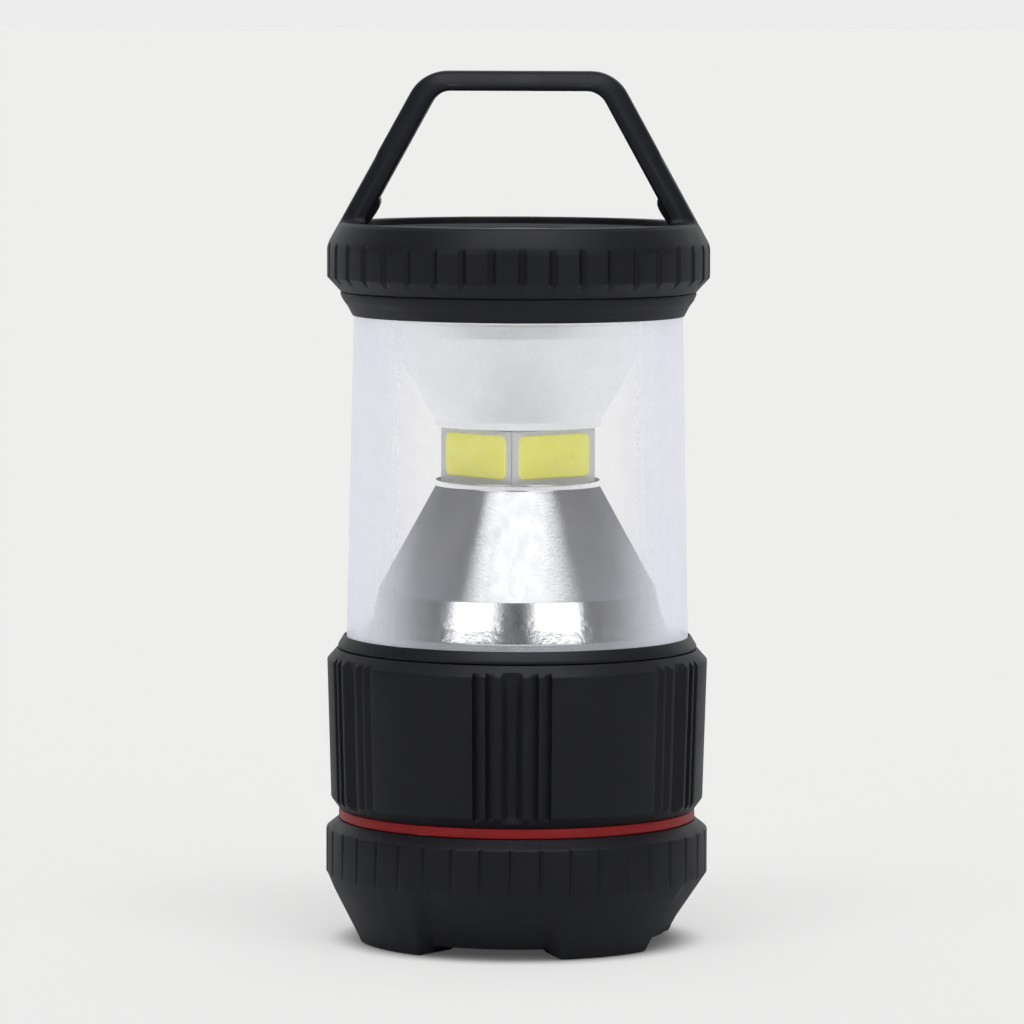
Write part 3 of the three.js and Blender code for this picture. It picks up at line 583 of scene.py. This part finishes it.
def handle_path():
    """Matching points along the handle's outer and inner outlines, from the left foot to the right."""
    lean = math.atan(LEG_SLOPE)
    wide = HANDLE_LEG / math.cos(lean)
    bend = (math.pi / 2 - lean) / 2

    def half(inset, top, corner):
        corner_x = leg_line(top) - inset
        reach = corner * math.tan(bend)
        end_z = top - reach * math.cos(lean)
        heights = [RIM_Z + rise for rise in HANDLE_FOOT_STEPS] + list(np.linspace(184.0, end_z, 14))
        leg = [(leg_line(z) - inset, z) for z in heights]
        centre = (corner_x - reach, top - corner)
        arc = [(centre[0] + corner * math.cos(a), centre[1] + corner * math.sin(a))
               for a in np.linspace(lean, math.pi / 2, 12)[1:]]
        bar = [(centre[0] * (1 - t), top) for t in (0.25, 0.5, 0.75, 1.0)]
        return leg + arc + bar

    outside = half(0.03, HANDLE_TOP_Z - 0.01, HANDLE_CORNER_R)
    inside = half(wide, HANDLE_TOP_Z - HANDLE_BAR, HANDLE_CORNER_R - HANDLE_BAR)
    whole = [[(-x, z) for x, z in path[:-1]] + path[::-1] for path in (outside, inside)]
    return np.array(whole[0]), np.array(whole[1])


def handle_section(width, deep):
    """The bow's cross section as (inward, sideways) points, set back outside and a little rounded inside."""
    section = [
        (0.0, 0.0), (0.0, 0.5 * deep), (0.0, deep - 3.3), (0.12, deep - 2.6), (0.42, deep - 2.05),
        (0.95, deep - 1.6), (2.3, deep - 0.75), (3.1, deep - 0.3), (3.7, deep - 0.1), (width - 1.2, deep),
        (width - 0.6, deep - 0.08), (width - 0.2, deep - 0.4), (width, deep - 0.9), (width, 0.4 * deep)]
    return section + [(width, 0.0)] + [(s, -y) for s, y in section[:0:-1]]


def handle():
    """The bow. Low on its legs the outer face follows the collar's round side."""
    outside, inside = handle_path()
    points = []
    for outer, inner in zip(outside, inside):
        width = np.linalg.norm(inner - outer)
        way = (inner - outer) / width
        rise = max(0.0, min(outer[1], inner[1]) - RIM_Z)
        left = max(0.0, HANDLE_FLARE_R - rise)
        flare = HANDLE_FLARE_R - math.sqrt(HANDLE_FLARE_R ** 2 - left ** 2)
        loop = handle_section(width, HANDLE_DEPTH / 2 + flare)
        for s, y in loop:
            x, z = outer + way * s
            if s < 1.0 and outer[1] < RIM_Z + 17.3:
                blend = smoothstep((RIM_Z + 24.3 - outer[1]) / 8.0)
                circle = math.sqrt(max(0.0, outer[0] ** 2 - y * y))
                x = math.copysign(abs(x) - blend * (abs(outer[0]) - circle), x)
            points.append((x, y, z))
    return mesh_object("handle_bow", points, capped(len(outside), len(loop)), SOFT_TOUCH)


def leg_pad(side):
    """The small block on the inner face of a leg, square on top and curving down to the rim."""
    lean = math.atan(LEG_SLOPE)
    inner = HANDLE_LEG / math.cos(lean)
    # (height, how far the pad stands proud of the leg), the first three buried in the leg
    profile = [
        (177.4, -2.0), (185.0, -2.0), (184.9, -0.1), (184.4, 0.45), (183.4, 1.0), (182.2, 1.22),
        (181.0, 1.2), (179.8, 1.05), (178.6, 0.9), (177.4, 0.8)]
    layers = [(-4.6, 0.35), (-4.4, 0.1), (-4.1, 0.0), (4.1, 0.0), (4.4, 0.1), (4.6, 0.35)]
    points = []
    for y, inset in layers:
        for k, (z, proud) in enumerate(profile):
            x = leg_line(z) - inner - proud + (inset if k > 2 else 0.0)
            points.append((side * x, y, z))
    name = "leg_pad_right" if side > 0 else "leg_pad_left"
    return mesh_object(name, points, capped(len(layers), len(profile)), SOFT_TOUCH)


def united(name, base, others):
    """The base with the other meshes joined to it as one closed body."""
    for other in others:
        modifier = base.modifiers.new("join", "BOOLEAN")
        modifier.operation = "UNION"
        modifier.solver = "EXACT"
        modifier.object = other
    graph = bpy.context.evaluated_depsgraph_get()
    mesh = bpy.data.meshes.new_from_object(base.evaluated_get(graph))
    base.modifiers.clear()
    base.data = mesh
    base.name = name
    for other in others:
        bpy.data.objects.remove(other)
    shade_smooth(mesh)
    return base


def place_on_body(obj, body, node):
    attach(obj, body)
    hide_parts(node)


def make_collar():
    collar = united("top_collar", collar_ring(), [handle(), leg_pad(1), leg_pad(-1)])
    place_on_body(collar, "lantern_body", "handle_collar")


make_collar()

BUTTON_R = 8.6
BUTTON_GAP = 0.4
BUTTON_FLANGE_R = 10.4
BUTTON_STEM_R = 2.6
DISC_R = 39.9
DISC_LOW_Z = 174.9
DISC_TOP_Z = 177.2


def make_top():
    hole_r = BUTTON_R + BUTTON_GAP
    disc = filleted([
        (hole_r, DISC_LOW_Z, 0.0), (DISC_R, DISC_LOW_Z, 0.0), (DISC_R, DISC_TOP_Z, 0.35),
        (hole_r, DISC_TOP_Z, 0.3)])
    plate = lathed("top_disc", disc, TOP_DISC, 160)
    place_on_body(plate, "lantern_body", "top_plate")
    outline = filleted([
        (0.0, 171.1, 0.0), (BUTTON_STEM_R, 171.1, 0.2), (BUTTON_STEM_R, 173.2, 0.0),
        (BUTTON_FLANGE_R, 173.2, 0.0), (BUTTON_FLANGE_R, 174.4, 0.0), (BUTTON_R, 174.4, 0.0),
        (BUTTON_R, DISC_TOP_Z, 0.5), (BUTTON_R - 1.6, DISC_TOP_Z - 0.05, 1.5),
        (0.0, DISC_TOP_Z - 0.45, 0.0)])
    button = lathed("push_button", outline, GRIP, 96, poles=True)
    place_on_body(button, "power_button", "power_button")


make_top()

# ---------------------------------------------------------------- lens collar, lens and bezel

LENS_WALL = 2.0
LENS_LOW_Z = 74.6
LENS_LOW_R = 42.53
LENS_TOP_Z = 158.2
LENS_TOP_R = 40.74
LENS_COLLAR_LOW_Z = 155.7
LENS_COLLAR_TOP_Z = 161.5
SPIGOT_TOP_Z = 169.5
BEZEL_LOW_Z = 72.6
BEZEL_TOP_Z = 76.1
BEZEL_R = 44.6


def make_lens():
    top = LENS_COLLAR_TOP_Z
    collar_outline = filleted([
        (41.05, LENS_COLLAR_LOW_Z, 0.0), (41.2, LENS_COLLAR_LOW_Z, 0.1), (42.4, 158.0, 1.5),
        (43.5, 159.5, 1.5), (SEAM_R, 160.9, 0.3), (SEAM_R, top, 0.1), (42.5, top, 0.0),
        (42.5, SPIGOT_TOP_Z, 0.3), (40.6, SPIGOT_TOP_Z, 0.3), (40.6, top, 0.0), (8.0, top, 0.0),
        (8.0, top - 2.2, 0.0), (41.05, top - 2.2, 0.0)])
    collar = lathed("lens_collar_ring", collar_outline, SOFT_TOUCH)
    place_on_body(collar, "lantern_body", "lens_collar")
    sleeve = filleted([
        (LENS_LOW_R - LENS_WALL, LENS_LOW_Z, 0.2), (LENS_LOW_R, LENS_LOW_Z, 0.3),
        (LENS_TOP_R, LENS_TOP_Z, 0.3), (LENS_TOP_R - LENS_WALL, LENS_TOP_Z, 0.2)])
    lens = lathed("lens_sleeve", spaced(sleeve, 4.0), LENS, 200)
    place_on_body(lens, "lantern_body", "lens_tube")
    seat = filleted([
        (40.3, BEZEL_LOW_Z, 0.0), (43.3, BEZEL_LOW_Z, 0.0), (43.3, 73.2, 0.0), (BEZEL_R, 73.2, 0.15),
        (BEZEL_R, 73.8, 0.3), (43.2, BEZEL_TOP_Z, 0.25), (42.75, BEZEL_TOP_Z, 0.1), (42.75, 74.0, 0.0),
        (40.3, 74.0, 0.0)])
    bezel = lathed("lens_seat", seat, SOFT_TOUCH)
    place_on_body(bezel, "lantern_body", "lens_bezel")


make_lens()

# ---------------------------------------------------------------- reflectors and LEDs

POST_TURN = 42
POST_HALF = 13.6
CONE_LOW_Z = 74.4
CONE_TOP_Z = 115.0
CONE_TOP_R = 20.4
BREAK_R = 34.9
FUNNEL_LOW_Z = 128.3
FUNNEL_TOP_Z = 159.1
FUNNEL_TOP_R = 37.8
FUNNEL_BORE_R = 9.0


def make_reflectors():
    """The outside of each reflector first, then its inside, which is a wall's thickness behind it."""
    cone_outside = [
        (38.6, CONE_LOW_Z, 0.0), (40.0, CONE_LOW_Z, 0.0), (39.6, 75.6, 1.0), (37.9, 77.2, 1.0),
        (36.7, 80.6, 7.0), (BREAK_R, BREAK_Z, 0.3), (CONE_TOP_R, 113.4, 0.6), (CONE_TOP_R, CONE_TOP_Z, 0.2)]
    cone_inside = [
        (19.5, CONE_TOP_Z, 0.2), (19.5, 112.8, 0.5), (33.5, 87.0, 0.5), (34.3, 84.0, 1.0),
        (35.7, 80.2, 1.0), (36.9, 76.6, 1.0), (38.6, 75.0, 0.3)]
    lower = lathed("lower_cone", spaced(filleted(cone_outside + cone_inside, 6), 1.0), CONE, 200)
    place_on_body(lower, "lantern_body", "lower_reflector")
    funnel_outside = [
        (FUNNEL_BORE_R, FUNNEL_LOW_Z, 0.0), (20.6, FUNNEL_LOW_Z, 0.2), (20.7, 130.0, 0.6),
        (33.6, 151.4, 1.2), (36.4, 154.6, 0.8), (FUNNEL_TOP_R, 155.2, 0.3),
        (FUNNEL_TOP_R, FUNNEL_TOP_Z, 0.0)]
    funnel_inside = [
        (36.6, FUNNEL_TOP_Z, 0.0), (36.6, 156.2, 0.3), (35.6, 155.6, 0.5), (32.4, 152.2, 1.0),
        (19.8, 130.7, 0.5), (19.8, 129.5, 0.2), (FUNNEL_BORE_R, 129.5, 0.0)]
    upper = lathed("upper_funnel", spaced(filleted(funnel_outside + funnel_inside, 6), 2.0), FUNNEL, 200)
    place_on_body(upper, "lantern_body", "upper_reflector")


def rounded_rectangle(width, height, corner, steps=6):
    x, z = width / 2 - corner, height / 2 - corner
    points = []
    for k, (cx, cz) in enumerate(((x, z), (-x, z), (-x, -z), (x, -z))):
        for i in range(steps + 1):
            angle = math.pi / 2 * (k + i / steps)
            points.append((cx + corner * math.cos(angle), cz + corner * math.sin(angle)))
    return points


FIELD_WIDTH = 22.6
FIELD_HEIGHT = 10.65
FIELD_MIDDLE_Z = 121.35
FIELD_CORNER = 1.6
FIELD_CORNER_LEAST = 0.3
FIELD_GAP = 0.02


def make_phosphor():
    """Each field is a low pillow: straight sides, a rolled edge and a nearly flat front."""
    base = POST_HALF + FIELD_GAP
    # (how far out from the board, how far in from the field's edge)
    layers = [(0.0, 0.0), (0.22, 0.0), (0.33, 0.06), (0.385, 0.18), (0.40, 0.4), (0.40, 1.2)]
    for number in range(4):
        spin = Matrix.Rotation(math.radians(POST_TURN + number * 90), 3, "Z")
        points = []
        for out, inset in layers:
            corner = max(FIELD_CORNER_LEAST, FIELD_CORNER - inset)
            for x, z in rounded_rectangle(FIELD_WIDTH - 2 * inset, FIELD_HEIGHT - 2 * inset, corner):
                points.append(tuple(spin @ Vector((x, -base - out, FIELD_MIDDLE_Z + z))))
        faces = capped(len(layers), len(points) // len(layers))
        field = mesh_object(f"led_field_{number + 1}", points, faces, PHOSPHOR)
        place_on_body(field, "lantern_body", f"led_phosphor_{number + 1}")


make_reflectors()
make_phosphor()

# ---------------------------------------------------------------- grip, ring and base

RIB_PERIOD = 60
CHANNEL_HALF = 3.0
CHANNEL_DEPTH = 1.95
# (distance from the middle of a rib group, how far the surface is sunk): a channel, then two toothed grooves
RIB_SECTION = [
    (0.0, CHANNEL_DEPTH), (0.85, CHANNEL_DEPTH), (1.05, 1.88), (2.55, 0.32), (2.8, 0.08),
    (CHANNEL_HALF, 0.0), (4.05, 0.0), (4.3, 0.10), (4.6, 0.30), (5.9, 0.88), (6.12, 1.0), (6.28, 1.0),
    (6.36, 0.85), (6.42, 0.18), (6.5, 0.04), (6.62, 0.0), (7.35, 0.0), (7.6, 0.10), (7.9, 0.30),
    (9.2, 0.88), (9.42, 1.0), (9.56, 1.0), (9.64, 0.85), (9.70, 0.18), (9.78, 0.04), (9.9, 0.0)]
SLEEVE_LOW_Z = 33.1
SLEEVE_TOP_Z = 72.9
SLEEVE_BORE_R = 43.6
WALL_LOW_Z = 35.8
WALL_LOW_R = 46.3
WALL_TOP_Z = 70.2
WALL_TOP_R = 47.3
# the channel's depth at its two ends, and how much deeper it gets on the way to its full stretch
CHANNEL_END_DEPTH = 1.05
CHANNEL_END_RISE = 0.9
CHANNEL_LOW_Z = 34.2
CHANNEL_LOW_FULL_Z = 36.6
CHANNEL_TOP_FULL_Z = 67.6
CHANNEL_TOP_Z = 71.3
SEAL_LOW_Z = 30.5
SEAL_TOP_Z = 32.95
SEAL_R = 44.3


def make_grip():
    """The sleeve with its rib groups. The middle channel gets shallower at both ends of the wall."""
    outline = filleted([
        (SLEEVE_BORE_R, SLEEVE_LOW_Z, 0.0), (SEAL_R, SLEEVE_LOW_Z, 0.3), (WALL_LOW_R, WALL_LOW_Z, 1.0),
        (WALL_TOP_R, WALL_TOP_Z, 0.7), (44.9, SLEEVE_TOP_Z, 0.35), (SLEEVE_BORE_R, SLEEVE_TOP_Z, 0.0)])
    ends = spaced(outline, 0.28, lambda r, z: r > 44 and not CHANNEL_LOW_FULL_Z <= z <= CHANNEL_TOP_FULL_Z)
    outline = spaced(ends, 3.0, lambda r, z: r > 45)
    scale = math.degrees(1 / 46.9)
    places, depths = zip(*RIB_SECTION)
    local = [side * s * scale for s in places for side in (-1, 1)]
    angles = column_angles(RIB_PERIOD, local, 1.6)
    across = np.abs(offset_from(angles, RIB_PERIOD)) / scale
    sunk = np.interp(across, places, depths)[:, None]
    r, z = outline_rows(outline, angles)
    wall = WALL_LOW_R + (WALL_TOP_R - WALL_LOW_R) * (z - WALL_LOW_Z) / (WALL_TOP_Z - WALL_LOW_Z)
    from_top = (CHANNEL_TOP_Z - z) / (CHANNEL_TOP_Z - CHANNEL_TOP_FULL_Z)
    from_low = (z - CHANNEL_LOW_Z) / (CHANNEL_LOW_FULL_Z - CHANNEL_LOW_Z)
    ramps = np.clip(CHANNEL_END_DEPTH + CHANNEL_END_RISE * np.minimum(from_top, from_low), 0, 2)
    depth = np.where((across < CHANNEL_HALF)[:, None], np.minimum(sunk, ramps), sunk)
    side = (r > 44.0) & (z > SLEEVE_LOW_Z + 0.1) & (z < SLEEVE_TOP_Z - 0.05)
    r = np.where(side & (sunk > 0), np.minimum(r, wall - depth), r)
    grip = swept("grip_body", angles, r, z, GRIP)
    place_on_body(grip, "lantern_body", "grip_sleeve")


def make_ring():
    bore_r = SEAL_R - 2.1
    outline = filleted([
        (bore_r, SEAL_LOW_Z, 0.0), (SEAL_R, SEAL_LOW_Z, 0.3), (SEAL_R + 0.08, 31.7, 3.0),
        (SEAL_R, SEAL_TOP_Z, 0.3), (bore_r, SEAL_TOP_Z, 0.0)])
    ring = lathed("accent_ring", outline, RED, 200)
    place_on_body(ring, "lantern_body", "seal_ring")


make_grip()
make_ring()

FOOT_TURN = 36
FOOT_HALF_LOW = 20.0
FOOT_HALF_HIGH = 28.5
FOOT_EDGE = 5.5
CAP_NOTCH_HALF = 0.65
CAP_NOTCH_DEPTH = 0.6
# how far either side of a foot's middle its flank is, low and high
FLANK_ANGLES = (16.5, 32.0)
CAP_GAP_Z = 2.3
CAP_WALL_Z = 17.3
CAP_CORNER_Z = 28.0
CAP_TOP_Z = 30.35
CAP_BORE_R = 42.5
CAP_FLOOR_Z = 4.2
# the underside, out to the flank: (r, z) between the feet, and the (r, z) over a foot that it blends to
CAP_UNDERSIDE = [
    ((0.0, CAP_GAP_Z), (0.0, CAP_GAP_Z)), ((12.0, CAP_GAP_Z), (12.0, CAP_GAP_Z)),
    ((24.6, CAP_GAP_Z), (24.6, CAP_GAP_Z)), ((25.3, CAP_GAP_Z), (25.3, 2.25)),
    ((25.6, CAP_GAP_Z), (25.6, 2.0)), ((25.7, CAP_GAP_Z), (25.75, 0.7)),
    ((26.0, CAP_GAP_Z), (26.0, 0.2)), ((26.6, CAP_GAP_Z), (26.6, 0.0)),
    ((30.5, CAP_GAP_Z), (31.5, 0.0)), ((34.5, CAP_GAP_Z), (35.8, 0.0)), ((36.4, CAP_GAP_Z), (38.4, 0.0)),
    ((36.9, 2.34), (39.3, 0.05)), ((37.3, 2.46), (39.95, 0.4)), ((37.65, 2.75), (40.3, 1.0)),
    ((37.95, 3.15), (40.6, 1.9))]


def base_rows():
    """Matching rows of (r, z) points from the middle of the underside to the middle of the floor inside."""
    (gap_r, gap_z), (foot_r, foot_z) = CAP_UNDERSIDE[-1]
    slope = np.linspace(0.0, 1.0, 22)[1:]
    gap_side = [(gap_r + (GRIP_R - gap_r) * t, gap_z + (CAP_WALL_Z - gap_z) * t) for t in slope]
    foot_side = []
    for t in slope:
        z = foot_z + (CAP_WALL_Z - foot_z) * t
        foot_side.append((np.interp(z, (foot_z, 13.8, CAP_WALL_Z), (foot_r, 46.2, GRIP_R)), z))
    top = filleted([
        (GRIP_R, CAP_WALL_Z, 0.0), (GRIP_R, CAP_CORNER_Z, 0.9), (44.5, CAP_TOP_Z, 0.3),
        (CAP_BORE_R, CAP_TOP_Z, 0.2), (CAP_BORE_R, 13.5, 0.0), (36.2, CAP_FLOOR_Z, 0.0),
        (0.0, CAP_FLOOR_Z, 0.0), (0.0, 3.0, 0.0)], 5)[1:-1]
    top = spaced(top, 0.6, lambda r, z: r > 44.6, closed=False)
    gap = [g for g, _ in CAP_UNDERSIDE] + gap_side + top
    foot = [f for _, f in CAP_UNDERSIDE] + foot_side + top
    return np.array(gap), np.array(foot)


def make_base():
    """The base cap. Each angle has one row of points, between the row over a foot and the row beside it."""
    gap, foot = base_rows()
    foot_angles = [FOOT_TURN + side * a for a in np.arange(*FLANK_ANGLES, 0.4) for side in (-1, 1)]
    notch_reach = [0.0, 0.15, 0.3, 0.45, 0.55, 0.65, 0.8]
    pitch = 360 / NOTCHES
    notch_local = [math.degrees(side * s / GRIP_R) for s in notch_reach for side in (-1, 1)]
    notch_angles = [i * pitch + a for i in range(NOTCHES // 4) for a in notch_local]
    angles = column_angles(90, foot_angles + notch_angles, 1.5)
    away = np.abs(offset_from(angles, 90, FOOT_TURN))[:, None]
    z_mid = (gap[:, 1] + foot[:, 1]) / 2
    half = FOOT_HALF_LOW + (FOOT_HALF_HIGH - FOOT_HALF_LOW) * np.clip(z_mid / 20.0, 0, 1)[None, :]
    on_foot = smoothstep((half - away) / FOOT_EDGE + 0.5)
    r = gap[None, :, 0] * (1 - on_foot) + foot[None, :, 0] * on_foot
    z = gap[None, :, 1] * (1 - on_foot) + foot[None, :, 1] * on_foot
    across = np.radians(offset_from(angles, pitch)) * GRIP_R
    steep, gentle = (across + CAP_NOTCH_HALF) / 0.3, CAP_NOTCH_HALF - across
    vee = np.clip(np.minimum(steep, gentle), 0, 1)[:, None]
    fade = smoothstep((z - 16.6) / 2.0) * smoothstep((28.8 - z) / 1.6)
    side = (r > 44.4) & (z > 15) & (z < 29)
    r = np.where(side, r - CAP_NOTCH_DEPTH * vee * fade, r)
    cap = swept("screw_base", angles, r, z, GRIP, poles=True)
    place_on_body(cap, "base_cap", "base_cap")


make_base()

# ---------------------------------------------------------------- floor and light

FLOOR_HALF = 45.0
FLOOR_STEPS = 30
FLOOR_Z = -0.00005
# where the painted shadow, a dark disc under the base, begins to fade and where it is gone, in metres from
# the axis
SHADOW_INSIDE = 0.036
SHADOW_OUTSIDE = 0.0485
SHADOW_GLOW = 0.13
FLOOR_GLOW_IN_MIRRORS = 0.73


def make_floor():
    """A pale floor. Where it is seen straight it also glows, but for a painted soft shadow, a dark disc
    under the base.
    """
    mesh = bpy.data.meshes.new("floor")
    steps = FLOOR_STEPS
    line = np.linspace(-FLOOR_HALF, FLOOR_HALF, steps + 1)
    points = [(x, y, FLOOR_Z) for y in line for x in line]
    faces = []
    for i in range(steps):
        for j in range(steps):
            a = i * (steps + 1) + j
            faces.append((a, a + 1, a + steps + 2, a + steps + 1))
    mesh.from_pydata(points, [], faces)
    material, n, shader = new_material("studio_floor")
    cloud = n.noise(n.place(), 3, 3)
    pale = n.mix(n.span(cloud, 0.3, 0.7), rgb(0.497, 0.490, 0.475), rgb(0.503, 0.496, 0.481))
    seen = seen_straight(n)
    n.put(shader.inputs["Base Color"], n.mix(seen, rgb(0.75, 0.75, 0.75), pale))
    shader.inputs["Roughness"].default_value = 0.9
    shader.inputs["Specular IOR Level"].default_value = 0.0
    shader.inputs["Emission Color"].default_value = rgb(0.466, 0.464, 0.466)
    flat = n.add("ShaderNodeMapping", inputs={"Vector": n.place(), "Scale": (1, 1, 0)})
    reach = n.add("ShaderNodeVectorMath", operation="LENGTH", inputs={0: flat.outputs[0]}).outputs["Value"]
    # painted shadow: the glow fades down to SHADOW_GLOW in a soft disc round the base
    lit = n.span(reach, SHADOW_INSIDE, SHADOW_OUTSIDE, SHADOW_GLOW, 1.0, smooth=True)
    mirrored = n.math("MULTIPLY", through_lens(n), FLOOR_GLOW_IN_MIRRORS)
    glow = n.math("ADD", n.math("MULTIPLY", seen, lit), mirrored)
    n.put(shader.inputs["Emission Strength"], glow)
    mesh.materials.append(material)
    floor = bpy.data.objects.new("floor", mesh)
    bpy.context.scene.collection.objects.link(floor)


make_floor()

# soft boxes in degrees: middle and half width, lowest and highest elevation, softness; then the strength
TOP_BOX = (7, 62, 53, 76, 4, 3.7)
TOP_BOX_INSIDE = (7, 62, 48, 59, 3, 1.55)
FRONT_BOXES = ((-35, 20, 10, 33, 3, 1.5), (35, 20, 10, 33, 3, 1.8))
BACKDROP = 0.845


def make_light():
    """A studio as a painted sky: soft boxes by direction, and a plain backdrop for what is seen straight.

    What the reflectors mirror through the lens wall has its own, dimmer side, back and top light."""
    world = bpy.data.worlds.new("studio")
    bpy.context.scene.world = world
    world.use_nodes = True
    n = Nodes(world.node_tree)
    world.node_tree.nodes.clear()
    way = n.add("ShaderNodeTexCoord").outputs["Generated"]
    parts = n.add("ShaderNodeSeparateXYZ", inputs={"Vector": way})
    x, y, z = parts.outputs
    azimuth = n.math("MULTIPLY", n.math("ARCTAN2", x, n.math("MULTIPLY", y, -1.0)), 180 / math.pi)
    height = n.math("MULTIPLY", n.math("ARCSINE", z), 180 / math.pi)

    def box(centre, half_wide, low, high, soft, level):
        off = n.math("ABSOLUTE", n.math("SUBTRACT", azimuth, centre))
        wide = n.span(off, half_wide + soft, half_wide - soft, smooth=True)
        rise = n.span(height, low - soft, low + soft, smooth=True)
        fall = n.span(height, high + soft, high - soft, smooth=True)
        return n.math("MULTIPLY", n.math("MULTIPLY", wide, n.math("MULTIPLY", rise, fall)), level)

    inside = through_lens(n)
    aside = n.math("ABSOLUTE", azimuth)
    total = n.span(aside, 56, 84, 0.05, n.span(inside, 0.0, 1.0, 0.24, 0.12), smooth=True)
    behind = n.span(aside, 118, 142, 0.0, 0.62, smooth=True)
    low_back = n.math("MULTIPLY", behind, n.span(height, 56, 40, smooth=True))
    zenith = n.span(height, 60, 76, 0.0, 0.15, smooth=True)
    lights = [
        n.math("MULTIPLY", low_back, n.span(inside, 0.0, 1.0, 1.0, 0.05)), zenith,
        n.math("MULTIPLY", box(*TOP_BOX), n.math("SUBTRACT", 1.0, inside)),
        n.math("MULTIPLY", box(*TOP_BOX_INSIDE), inside)]
    lights += [box(*settings) for settings in FRONT_BOXES]
    for light in lights:
        total = n.math("ADD", total, light)
    seen = seen_straight(n)
    studio = n.add("ShaderNodeBackground", inputs={"Strength": total, "Color": rgb(0.97, 0.985, 1.0)})
    grey = rgb(BACKDROP, BACKDROP, BACKDROP)
    plain = n.add("ShaderNodeBackground", inputs={"Strength": 1.0, "Color": grey})
    both = n.add("ShaderNodeMixShader", inputs={0: seen, 1: studio.outputs[0], 2: plain.outputs[0]})
    n.add("ShaderNodeOutputWorld", inputs={"Surface": both.outputs[0]})


make_light()
